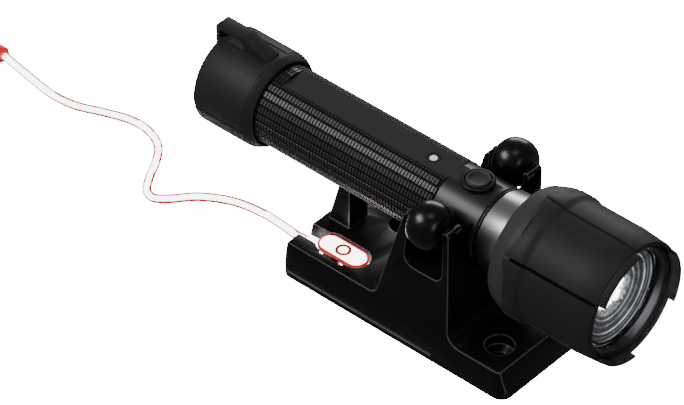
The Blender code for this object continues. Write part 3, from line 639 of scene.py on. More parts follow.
# The floor of the knurl's grooves, flat black as painted shade.
GROOVE_PAINTED_SHADE = Lathe("hard_anodised_aluminium_groove_painted_shade", "0c0c0d", "080809", 0.6, specular=0.15, grain=0.5 * MM)
# Turned bare aluminium under clear anodising: bright, with rings that only show where the light fades.
BRIGHT_ALLOY = Lathe("turned_aluminium_bright", "cdcdd0", "c6c6ca", 0.3, 0.01, metallic=1.0, grain=0.3 * MM,
                     relief=0.00004 * MM)
# Moulded silicone rubber of the two bumpers: matt charcoal with a powdery bloom.
BUMPER_RUBBER = Spark("moulded_silicone_charcoal", "353537", "2d2d2f", 0.52, 0.05, specular=0.3,
                      grain=0.4 * MM, relief=0.012 * MM, drift=22 * MM)
# The same silicone in the grooves between the panels, darkest as painted shade.
BUMPER_GROOVE_SHADE = Spark("moulded_silicone_groove_painted_shade", "0e0e0f", "0b0b0c", 0.7, 0.05, specular=0.1,
                      grain=0.4 * MM, relief=0.012 * MM, drift=22 * MM)
# The same silicone on the rear cone, made paler as painted light.
BUMPER_CONE_PAINTED_LIGHT = Spark("moulded_silicone_cone_painted_light", "4b4b4e", "414144", 0.55, 0.05, specular=0.35,
                     grain=0.4 * MM, relief=0.012 * MM, drift=22 * MM)
# The button's softer rubber, its tone drifting a shade lighter in patches.
BUTTON_RUBBER = Finish("soft_silicone_grey", "454548", "38383a", 0.5, 0.06, specular=0.4, grain=0.3 * MM,
                       relief=0.01 * MM)
SEAL_RUBBER = Finish("nitrile_seal_black", "0a0a0a", "060606", 0.45, grain=0.3 * MM, relief=0.006 * MM)
# White thermoplastic elastomer of the lead: an extruded skin, given a painted glow so that it stays as white
# as the floor.
LEAD_WHITE = Finish("extruded_elastomer_white", "f8f8f7", "f1f0ef", 0.4, 0.05, grain=0.9 * MM,
                    relief=0.006 * MM, glow=7.0)
# Signal-red elastomer of the tracer lines, rim and relief, with a faint painted glow.
LEAD_RED = Finish("moulded_elastomer_red", "ee1020", "dd0814", 0.38, 0.05, grain=0.7 * MM, relief=0.006 * MM,
                  glow=0.6)
# Nickel-plated contacts: bright with a slight warm cast.
NICKEL = Finish("plated_nickel", "cfcac2", "bcb7b0", 0.22, 0.05, metallic=1.0, grain=0.4 * MM,
                relief=0.003 * MM)
# Rose-coloured copper plating on the ring that meets the light's contact.
COPPER = Finish("plated_copper_rose", "e8776f", "d45a55", 0.3, 0.05, metallic=0.6, grain=0.4 * MM,
                relief=0.003 * MM)
# Silver plating of the contact's face: pale and matt, with a faint painted glow to read as a light dot from
# anywhere.
CONTACT_FACE = Finish("matt_silver_plating", "f2f2f0", "e6e6e2", 0.5, 0.05, metallic=0.0, grain=0.3 * MM,
                      relief=0.002 * MM, glow=0.6)
STEEL = Lathe("blackened_steel_pin", "3a3a3d", "2a2a2c", 0.35, metallic=1.0, grain=0.25 * MM,
              relief=0.003 * MM)
SPRING_STEEL = Finish("drawn_spring_steel", "8d8e92", "75767a", 0.28, metallic=1.0, grain=0.2 * MM,
                      relief=0.003 * MM)
INNER_PLASTIC = Spark("moulded_polycarbonate_grey", "2e2e30", "252527", 0.5, grain=0.35 * MM)
BOARD_GREEN = Laminate("lacquered_laminate_green", "1d5a35", "123d24", 0.35, 0.08, grain=1.1 * MM,
                       relief=0.02 * MM, coat=0.4)
BOARD_WHITE = Laminate("lacquered_laminate_white", "dcdcd6", "c6c6be", 0.4, 0.06, grain=1.4 * MM,
                       relief=0.015 * MM)
CELL_WRAP = Finish("shrunk_sleeve_blue", "1f4d86", "183e6e", 0.32, 0.06, grain=0.8 * MM, relief=0.01 * MM,
                   stretch=(0.3, 1.0, 1.0), coat=0.3)
BRASS = Lathe("turned_brass", "b58a3c", "9c7430", 0.3, metallic=1.0, grain=0.3 * MM, relief=0.003 * MM)
PHOSPHOR = Finish("cast_phosphor_yellow", "f2d95c", "e6c63e", 0.3, grain=0.2 * MM, relief=0.004 * MM)
# Clear polycarbonate of the cover: nearly invisible, with the glare of the room on it.
CLEAR_COVER = Finish("polished_polycarbonate_clear", "f6f8fa", "f0f2f4", 0.04, 0.01, grain=4.0 * MM,
                     relief=0.001 * MM, clear=1.0, index=1.49)
# The optic as silvery grey glass with painted glowing rings, standing in for the light its back surfaces
# return.
OPTIC = Rings("moulded_optic_painted_glow_rings", "94969b", "3c3e42", 0.14, 0.05, metallic=0.6, specular=0.8,
              grain=2.6 * MM, relief=0.02 * MM, drift=6 * MM, coat=0.8)
# The collimator's heart: a painted glow standing in for the bright reflection of the white chip.
OPTIC_HEART_GLOW = Finish("optic_heart_painted_glow", "ffffff", "e8ecf2", 0.1, 0.03, grain=1.3 * MM, relief=0.06 * MM,
                     glow=30.0)


def dress(piece: Object, finish: Finish, body: str, slot: str, *nodes: str, degrees: float = 32.0) -> Object:
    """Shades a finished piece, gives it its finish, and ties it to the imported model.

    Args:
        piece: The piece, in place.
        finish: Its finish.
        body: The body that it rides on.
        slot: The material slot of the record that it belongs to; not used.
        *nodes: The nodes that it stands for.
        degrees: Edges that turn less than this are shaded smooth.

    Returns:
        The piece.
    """
    if piece.type == "MESH":
        only(piece)
        bpy.ops.object.shade_smooth_by_angle(angle=math.radians(degrees))
        bpy.ops.object.transform_apply(location=True, rotation=True, scale=True)
    if not piece.data.materials:
        piece.data.materials.append(finish.material())
    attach(piece, body)
    if nodes:
        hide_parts(*nodes)
    log.info("%s: %s, on %s", piece.name, finish.name, body)
    return piece


def refinish(node: str, finish: Finish) -> None:
    """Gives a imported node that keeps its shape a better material.

    Args:
        node: The node's name.
        finish: The finish for it.
    """
    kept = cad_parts[node]
    kept.data.materials.clear()
    kept.data.materials.append(finish.material())
    log.info("%s: %s, shape kept", node, finish.name)


# --- Where things are --------------------------------------------------------------------------------------


@dataclass(frozen=True)
class Stations:
    """Places along and around the light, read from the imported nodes."""

    axis_z: float
    seam_x: float
    flat_z: float
    button_x: float
    contact_x: float
    tail_rear: float
    tail_front: float
    head_rear: float
    head_front: float

    @classmethod
    def read(cls) -> "Stations":
        """Reads the places from the nodes' boxes."""
        neck_low, neck_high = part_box("neck")
        cap_low, cap_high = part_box("button_cap")
        pin_low, pin_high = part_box("contact_pin")
        lid_low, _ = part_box("tail_cap")
        bumper_low, bumper_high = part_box("head_bumper")
        return cls(
            axis_z=(neck_low.z + neck_high.z) / 2, seam_x=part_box("body_tube")[1].x,
            flat_z=pin_high.z - 0.1 * MM, button_x=(cap_low.x + cap_high.x) / 2,
            contact_x=(pin_low.x + pin_high.x) / 2, tail_rear=lid_low.x - 2.4 * MM,
            tail_front=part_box("tail_bumper")[1].x, head_rear=bumper_low.x, head_front=bumper_high.x)

    @property
    def centre(self) -> Vector:
        """The point of the light's axis above the origin."""
        return Vector((0.0, 0.0, self.axis_z))

    def around(self, along: float, radius: float, degrees: float) -> Vector:
        """A point round the axis: 0 degrees is the near side, 90 the top and 180 the far side."""
        turn = math.radians(degrees)
        return Vector((along, -radius * math.cos(turn), self.axis_z + radius * math.sin(turn)))

    def sector(self, start: float, end: float, low: float, high: float, reach: float = 40 * MM) -> Object:
        """A sector about the axis, for cutting.

        Args:
            start: Its first angle, in degrees from the near side.
            end: Its last angle.
            low: Where it starts along X.
            high: Where it ends.
            reach: Its radius.

        Returns:
            The sector.
        """
        points = [(0.0, self.axis_z)]
        steps = 8
        for step in range(steps + 1):
            place = self.around(0.0, reach, start + (end - start) * step / steps)
            points.append((place.y, place.z))
        return slab("wedge", points, low, high, Axis.X)


# --- Studio ------------------------------------------------------------------------------------------------


@dataclass
class Studio:
    """The camera, a pale floor, and large soft lamps."""

    azimuth: float = 41.57
    elevation: float = 40.674
    distance: float = 1.60161
    aim: tuple[float, float, float] = (-0.05179, 0.01328, 0.00302)
    lens: float = 267.45
    floor_size: float = 12.0
    floor_glow: float = 25.0

    def back(self) -> Vector:
        """The direction from the object to the camera."""
        turn, rise = math.radians(self.azimuth), math.radians(self.elevation)
        return Vector((math.sin(turn) * math.cos(rise), -math.cos(turn) * math.cos(rise), math.sin(rise)))

    def camera(self) -> None:
        """Puts the camera in place."""
        data = bpy.data.cameras.new("camera")
        data.lens = self.lens
        data.sensor_width = 36.0
        data.clip_end = 30.0
        camera = bpy.data.objects.new("camera", data)
        bpy.context.scene.collection.objects.link(camera)
        camera.location = Vector(self.aim) + self.back() * self.distance
        camera.rotation_euler = (-self.back()).to_track_quat("-Z", "Y").to_euler()
        bpy.context.scene.camera = camera

    def floor(self) -> None:
        """Lays a lit white floor that throws no light back on the black light."""
        bpy.ops.object.select_all(action="DESELECT")
        bpy.ops.mesh.primitive_plane_add(size=self.floor_size, location=(0.0, 0.0, -0.3 * MM))
        floor = placed_primitive("studio_floor")
        paper = bpy.data.materials.new("studio_paper_white")
        paper.use_nodes = True
        shader = paper.node_tree.nodes["Principled BSDF"]
        shader.inputs["Base Color"].default_value = linear("f2f2f2")
        shader.inputs["Roughness"].default_value = 0.9
        shader.inputs["Specular IOR Level"].default_value = 0.0
        shader.inputs["Emission Color"].default_value = (1.0, 1.0, 1.0, 1.0)
        shader.inputs["Emission Strength"].default_value = self.floor_glow
        floor.data.materials.append(paper)
        floor.visible_glossy = False
        floor.visible_diffuse = False
        floor.visible_transmission = False

    def lamp(self, name: str, toward: Sequence[float], far: float, size: tuple[float, float],
             radiance: float) -> None:
        """Hangs a rectangular soft box that faces the object.

        Args:
            name: The lamp's name.
            toward: The direction from the object to the lamp.
            far: How far away it is.
            size: Its width and height.
            radiance: How bright its face is.
        """
        data = bpy.data.lights.new(name, "AREA")
        data.shape = "RECTANGLE"
        data.size, data.size_y = size
        data.energy = radiance * math.pi * size[0] * size[1]
        lamp = bpy.data.objects.new(name, data)
        bpy.context.scene.collection.objects.link(lamp)
        direction = Vector(toward).normalized()
        lamp.location = Vector((0.0, 0.0, 0.04)) + direction * far
        lamp.rotation_euler = direction.to_track_quat("Z", "Y").to_euler()

    def lamps(self) -> None:
        """Hangs the lamps and sets the dim room."""
        self.lamp("lamp_left", (-0.50, -0.54, 0.68), 1.3, (0.62, 0.42), 8.8)
        self.lamp("lamp_back", (-0.50, 0.84, 0.24), 1.3, (0.8, 0.4), 4.2)
        self.lamp("lamp_top", (0.10, -0.10, 1.0), 1.3, (0.5, 0.4), 1.2)
        self.lamp("lamp_front", (0.95, -0.35, 0.45), 1.5, (0.5, 0.6), 2.0)
        world = bpy.data.worlds.new("dim_room")
        world.use_nodes = True
        world.node_tree.nodes["Background"].inputs["Color"].default_value = (1.0, 1.0, 1.0, 1.0)
        world.node_tree.nodes["Background"].inputs["Strength"].default_value = 0.12
        bpy.context.scene.world = world


# --- The charging lead -------------------------------------------------------------------------------------


@dataclass
class ChargingLead:
    """The white lead with its two red tracer lines, from the charging head to its plug."""

    diameter: float = 3.0 * MM
    sides: int = 48
    steps: int = 180
    tracer_side: tuple[float, float, float] = (0.503, -0.567, 0.652)
    tracer_share: float = 0.8
    route: Sequence[tuple[float, float, float]] = (
        (-41.2, -13.15, 9.4), (-46.5, -12.9, 9.0), (-50.6, -9.8, 5.4), (-56.5, -6.6, 2.0), (-67.4, -5.9, 1.7),
        (-78.4, -7.8, 1.7), (-88.3, -13.3, 1.7), (-94.7, -20.3, 1.7), (-99.0, -23.4, 1.7),
        (-103.1, -21.9, 1.7), (-106.9, -16.5, 1.7), (-110.9, -9.1, 1.7), (-115.8, -3.4, 1.7),
        (-123.2, -0.2, 1.7), (-130.9, -0.2, 1.7), (-139.5, -3.0, 1.7), (-148.7, -6.6, 1.7),
        (-158.4, -7.8, 1.9), (-168.6, -7.1, 2.8), (-181.4, -5.9, 4.2))
    pieces: list[Object] = field(default_factory=list)

    def centreline(self) -> list[Vector]:
        """The lead's middle line, as even steps on the smooth curve through its route."""
        neck_low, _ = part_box("puck_base")
        start = (neck_low.x / MM - 0.3, self.route[0][1], self.route[0][2] + 0.4)
        points = [start, *self.route[1:]]
        spans = len(points) - 1
        line = []
        for step in range(self.steps + 1):
            at = step * spans / self.steps
            index = min(int(at), spans - 1)
            share = at - index
            before, first = points[max(index - 1, 0)], points[index]
            second, after = points[index + 1], points[min(index + 2, spans)]
            line.append(Vector([
                MM * (b + 0.5 * share * (c - a + share * (2 * a - 5 * b + 4 * c - d
                                                         + share * (3 * (b - c) + d - a))))
                for a, b, c, d in zip(before, first, second, after)]))
        return line

    def cable(self) -> Object:
        """Sweeps the cable along its line and paints its tracer lines.

        Returns:
            The cable.
        """
        line = self.centreline()
        data = bpy.data.curves.new("lead_cable", "CURVE")
        data.dimensions = "3D"
        data.bevel_depth = self.diameter / 2
        data.bevel_resolution = self.sides // 4 - 1
        data.use_fill_caps = True
        spline = data.splines.new("POLY")
        spline.points.add(len(line) - 1)
        for point, place in zip(spline.points, line):
            point.co = (*place, 1.0)
        cable = bpy.data.objects.new("lead_cable", data)
        bpy.context.scene.collection.objects.link(cable)
        only(cable)
        bpy.ops.object.convert(target="MESH")
        cleaned(cable)
        cable.data.materials.clear()
        cable.data.materials.append(LEAD_WHITE.material())
        cable.data.materials.append(LEAD_RED.material())
        side = Vector(self.tracer_side).normalized()
        for face in cable.data.polygons:
            corners = [cable.data.vertices[index].co for index in face.vertices]
            edges = [after - before for before, after in zip(corners, corners[1:])]
            along = max(edges, key=lambda edge: edge.length).normalized()
            across = side - along * side.dot(along)
            face.material_index = int(abs(face.normal.dot(across)) < self.tracer_share * across.length)
        dress(cable, LEAD_WHITE, "mount", "lead_white", "cable")
        return cable

    def relief(self) -> Object:
        """The ribbed strain relief in front of the plug."""
        low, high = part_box("plug_relief")
        middle = Vector((0.0, (low.y + high.y) / 2, (low.z + high.z) / 2))
        radius = (high.y - low.y) / 2
        profile = [(high.x, radius - 0.5 * MM), (high.x - 0.4 * MM, radius - 0.25 * MM)]
        ribs = 4
        pitch = (high.x - low.x - 1.2 * MM) / ribs
        for rib in range(ribs):
            start = high.x - 0.8 * MM - rib * pitch
            profile += [(start, radius), (start - 0.62 * pitch, radius),
                        (start - 0.68 * pitch, radius - 0.5 * MM),
                        (start - 0.94 * pitch, radius - 0.5 * MM)]
        profile += [(low.x + 0.2 * MM, radius), (low.x, radius - 0.15 * MM)]
        return dress(turned("lead_relief", profile, middle, sides=48), LEAD_RED, "mount", "lead_red",
                     "plug_relief")

    def plug(self) -> Object:
        """The plug's moulding, with a thumb recess on both faces."""
        low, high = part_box("plug_body")
        middle_y = (low.y + high.y) / 2
        half = (high.y - low.y) / 2
        outline = [(high.x, 0.44), (high.x - 1.2 * MM, 0.68), (high.x - 3.0 * MM, 0.88),
                   (high.x - 5.4 * MM, 1.0), (low.x + 1.0 * MM, 1.0), (low.x, 0.94)]
        ring = [(x, middle_y + half * share) for x, share in outline]
        ring += [(x, middle_y - half * share) for x, share in reversed(outline)]
        body = slab("lead_plug", ring, low.z, high.z)
        for face, depth in ((high.z, 0.5 * MM), (low.z, 0.5 * MM)):
            recess = slab("recess", stadium((low.x + high.x) / 2, middle_y, 13 * MM, 9 * MM),
                          face - depth, face + depth)
            worked(body, recess)
        softened(body, 0.5 * MM, 3)
        return dress(body, LEAD_WHITE, "mount", "lead_white", "plug_body")

    def build(self) -> None:
        """Makes the plug's pieces and then the cable."""
        self.pieces = [self.relief(), self.plug()]
        refinish("plug_shell", NICKEL)
        refinish("plug_tongue", INNER_PLASTIC)
        self.cable()


@dataclass
class ChargingHead:
    """The magnetic head in the mount's pocket: two white shells about a red band, with a red rim."""

    edge: float = 0.35 * MM
    rim: float = 0.65 * MM
    ring_inner: float = 1.65 * MM
    ring_outer: float = 2.6 * MM

    def shell(self, node: str, finish: Finish, slot: str, edge: float) -> Object:
        """One layer of the head, with its edges rounded.

        Args:
            node: The node that it stands for.
            finish: Its finish.
            slot: Its material slot.
            edge: The rounding of its edges.

        Returns:
            The layer.
        """
        low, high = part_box(node)
        end_low, end_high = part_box("puck_rim")
        length, width = 2 * (high.x - (end_low.x + end_high.x) / 2), high.y - low.y
        layer = slab(f"charge_{node}",
                     stadium((end_low.x + end_high.x) / 2, (low.y + high.y) / 2, length, width),
                     low.z, high.z)
        if node == "puck_rim":
            inner = stadium((low.x + high.x) / 2, (low.y + high.y) / 2, length - 2 * self.rim,
                            width - 2 * self.rim)
            worked(layer, slab("hollow", inner, low.z - MM, high.z + MM))
        if node == "puck_top":
            recess = turned("recess", ((high.z - 0.9 * MM, self.ring_inner - 0.15 * MM),
                                       (high.z - 0.9 * MM, self.ring_outer + 0.15 * MM),
                                       (high.z + MM, self.ring_outer + 0.15 * MM),
                                       (high.z + MM, self.ring_inner - 0.15 * MM)),
                            Vector(((low.x + high.x) / 2, (low.y + high.y) / 2, 0.0)), Axis.Z, 48, True)
            worked(layer, recess)
        softened(layer, edge, 3)
        if node == "puck_base":
            neck_z = low.z + 2.3 * MM
            start = end_low.x - low.x
            neck = turned("charge_neck", ((low.x, 1.75 * MM), (low.x + 0.3 * MM, 2.0 * MM),
                                          (low.x + 0.55 * start, 2.1 * MM), (low.x + 0.6 * start, 2.25 * MM),
                                          (end_low.x + 2.5 * MM, 2.25 * MM)),
                          Vector((0.0, (low.y + high.y) / 2, neck_z)), sides=40)
            worked(layer, neck, Cut.JOIN)
        return dress(layer, finish, "mount", slot, node)

    def build(self) -> None:
        """Builds the layers and the contact ring."""
        self.shell("puck_base", LEAD_WHITE, "lead_white", self.edge)
        self.shell("puck_band", LEAD_RED, "lead_red", 0.12 * MM)
        self.shell("puck_rim", LEAD_RED, "lead_red", 0.12 * MM)
        self.shell("puck_top", LEAD_WHITE, "lead_white", 0.2 * MM)
        low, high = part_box("puck_contact_ring")
        ring = turned("charge_ring", ((low.z, self.ring_inner), (low.z, self.ring_outer),
                                      (high.z - 0.1 * MM, self.ring_outer),
                                      (high.z, self.ring_outer - 0.1 * MM),
                                      (high.z, self.ring_inner + 0.1 * MM),
                                      (high.z - 0.1 * MM, self.ring_inner)),
                      Vector(((low.x + high.x) / 2, (low.y + high.y) / 2, 0.0)), Axis.Z, 64, True)
        dress(ring, COPPER, "mount", "contact_metal", "puck_contact_ring")


# --- The mount ---------------------------------------------------------------------------------------------


@dataclass
class Cradle:
    """The mount's one moulding, with its rollers."""

    at: Stations
    arm_inner: float = 15.4 * MM
    tube_r: float = 13.5 * MM
    saddle_r: float = 13.8 * MM
    edge: float = 0.28 * MM
    plan_corner: float = 4.0 * MM
    slot_half: float = 6.55 * MM
    slot_z: float = 33.5 * MM
    lip_z: float = 11.1 * MM
    block_z: float = 14.4 * MM
    post_x: float = -33.1 * MM
    post_half: float = 4.4 * MM
    pocket_floor: float = 7.2 * MM
    hole_r: float = 2.2 * MM
    counterbore_r: float = 4.6 * MM
    groove_depth: float = 0.5 * MM
    pin_hole_r: float = 1.65 * MM

    def side_outline(self) -> tuple[Outline, Sequence[tuple[tuple[float, float], float]]]:
        """The moulding seen from its side: the outline's corners, and those that are rounded."""
        low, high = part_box("cradle")
        top = high.z
        roller_low, roller_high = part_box("roller_near")
        middle = (roller_low.x + roller_high.x) / 2
        front_in, rear_in = middle + self.slot_half, middle - self.slot_half
        block_top, lip = self.block_z, self.lip_z
        floor_front = (front_in + 2.6 * MM, lip)
        slot_front, slot_rear = (front_in, self.slot_z), (rear_in - 2.3 * MM, self.slot_z)
        block_front = (rear_in - 13.5 * MM, block_top)
        outline = [
            (low.x, 0.0), (high.x, 0.0), (high.x - 1.85 * MM, lip), floor_front,
            (front_in + 2.4 * MM, top - 1.2 * MM), (front_in + 1.6 * MM, top), (front_in, top - 0.6 * MM),
            slot_front, slot_rear, (rear_in + 0.1 * MM, top - 0.8 * MM), (rear_in - 0.8 * MM, top),
            (rear_in - 2.2 * MM, top - 1.6 * MM), (rear_in - 3.4 * MM, top - 5.6 * MM),
            block_front, (low.x + 3.1 * MM, block_top)]
        fillets = [(floor_front, 4.4 * MM), (slot_front, 4.0 * MM), (slot_rear, 4.2 * MM),
                   (block_front, 2.6 * MM), ((low.x + 3.1 * MM, block_top), 0.6 * MM),
                   ((rear_in - 3.4 * MM, top - 5.6 * MM), 2.0 * MM)]
        return outline, fillets

    def body(self) -> Object:
        """The base, block, arms and bulkhead, as one outline with its plan corners rounded."""
        low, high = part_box("cradle")
        outline, fillets = self.side_outline()
        piece = slab("mount_cradle", outline, low.y, high.y, Axis.Y, fillets)
        reach = self.plan_corner
        plan = [(low.x, low.y), (high.x, low.y), (high.x, high.y), (low.x, high.y)]
        worked(piece,
               slab("plan", plan, low.z - MM, high.z + MM, Axis.Z, [(corner, reach) for corner in plan]),
               Cut.COMMON)
        post_x = self.post_x
        tube_low = self.at.axis_z - self.tube_r
        post = slab("post", ((post_x - 8.3 * MM, 12.4 * MM), (post_x, 12.4 * MM), (post_x, tube_low + 2 * MM),
                             (post_x - 3.4 * MM, tube_low + 2 * MM), (post_x - 8.3 * MM, 15.4 * MM)),
                    -self.post_half, self.post_half, Axis.Y)
        return worked(piece, post, Cut.JOIN)

    def ways(self, piece: Object) -> None:
        """Cuts the way between the arms and the saddle under the tube."""
        top, axis_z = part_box("cradle")[1].z + 6 * MM, self.at.axis_z
        inner, step = self.tube_r * 0.72, axis_z - self.tube_r * 0.74
        way = [(-self.arm_inner, top), (-self.arm_inner, axis_z - MM), (-inner, step), (inner, step),
               (self.arm_inner, axis_z - MM), (self.arm_inner, top)]
        worked(piece, slab("way", way, -14 * MM, 26 * MM, Axis.X))
        worked(piece, turned("saddle", ((-60 * MM, self.saddle_r), (40 * MM, self.saddle_r)), self.at.centre,
                             sides=96))

    def pocket(self, piece: Object) -> None:
        """Cuts the charging head's pocket, its clip notches, and the channel that lets its lead out."""
        low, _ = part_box("cradle")
        rim_low, rim_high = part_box("puck_rim")
        middle_x, middle_y = (rim_low.x + rim_high.x) / 2, (rim_low.y + rim_high.y) / 2
        length, width = rim_high.x - rim_low.x + 1.2 * MM, rim_high.y - rim_low.y + 1.2 * MM
        worked(piece, slab("pocket", stadium(middle_x, middle_y, length, width), self.pocket_floor, 20 * MM))
        worked(piece, block("channel", (low.x - 3 * MM, middle_y - 3.25 * MM, self.pocket_floor),
                            (middle_x, middle_y + 3.25 * MM, 20 * MM)))
        for shift in (-4.6 * MM, 3.4 * MM):
            worked(piece, block("clip_notch",
                                (middle_x + shift - 0.9 * MM, middle_y - width / 2 - 1.1 * MM, 12.2 * MM),
                                (middle_x + shift + 0.9 * MM, middle_y, 20 * MM)))

    def holes(self, piece: Object) -> None:
        """Drills the screw holes and pin holes and cuts the side grooves."""
        low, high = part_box("cradle")
        lip = self.lip_z
        screw_x = high.x - 10.3 * MM
        for place, shoulder, top in (((screw_x, -11.5 * MM), lip - 5 * MM, lip + 9 * MM),
                                     ((screw_x, 11.5 * MM), lip - 5 * MM, lip + 9 * MM),
                                     ((low.x + 24.5 * MM, 8.5 * MM), 8 * MM, 20.4 * MM)):
            worked(piece, turned("screw_hole", (
                (-MM, self.hole_r), (shoulder, self.hole_r), (shoulder + 1.4 * MM, self.counterbore_r),
                (top, self.counterbore_r)), Vector((*place, 0.0)), Axis.Z, 48))
        for side, edge in ((-1, low.y), (1, high.y)):
            worked(piece, block("side_groove", (low.x + 2.6 * MM, edge - self.groove_depth, 2.2 * MM),
                                (15.2 * MM, edge + self.groove_depth, 3.4 * MM)))
            pin_low, pin_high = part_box("roller_pin_near" if side < 0 else "roller_pin_far")
            pin_centre = Vector((0.0, (pin_low.y + pin_high.y) / 2, (pin_low.z + pin_high.z) / 2))
            worked(piece, turned("pin_hole", ((-5 * MM, self.pin_hole_r), (30 * MM, self.pin_hole_r)),
                                 pin_centre, sides=32))
            worked(piece, block("core", (5 * MM, side * 10.5 * MM - 6.5 * MM, -2 * MM),
                                (17.65 * MM, side * 10.5 * MM + 6.5 * MM, 26 * MM)))

    def roller(self, side: str) -> None:
        """A barrel roller with a hub at each end.

        Args:
            side: near or far.
        """
        low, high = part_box(f"roller_{side}")
        centre = (low + high) / 2
        radius, half = (high.z - low.z) / 2, (high.x - low.x) / 2
        hub = 2.6 * MM
        profile = [(-half, self.pin_hole_r), (-half, hub), (-half + 0.35 * MM, hub + 0.5 * MM)]
        steps = 22
        for step in range(steps + 1):
            turn = math.pi * 0.86 * (step / steps - 0.5)
            drop = (1 - math.cos(turn)) / (1 - math.cos(math.pi * 0.43))
            profile.append(((half - 0.35 * MM) * math.sin(turn) / math.sin(math.pi * 0.43),
                            radius - radius * 0.4 * drop))
        profile += [(half - 0.35 * MM, hub + 0.5 * MM), (half, hub), (half, self.pin_hole_r)]
        piece = turned(f"mount_roller_{side}", profile, centre, sides=72, bored=True)
        dress(piece, ROLLER_ACETAL, f"roller_{side}", "roller_plastic", f"roller_{side}", degrees=40)
        refinish(f"roller_pin_{side}", STEEL)

    def build(self) -> None:
        """Builds the moulding and the two rollers."""
        piece = self.body()
        self.ways(piece)
        self.pocket(piece)
        self.holes(piece)
        cleaned(piece)
        # The rounded edges take the pale nylon, a painted edge highlight.
        for finish in (MOUNT_NYLON, MOUNT_EDGE_HIGHLIGHT):
            piece.data.materials.append(finish.material())
        softened(piece, self.edge, 2, 32, finish=1)
        dress(piece, MOUNT_NYLON, "mount", "mount_plastic", "cradle")
        for side in ("near", "far"):
            self.roller(side)


# --- The body of the light ---------------------------------------------------------------------------------


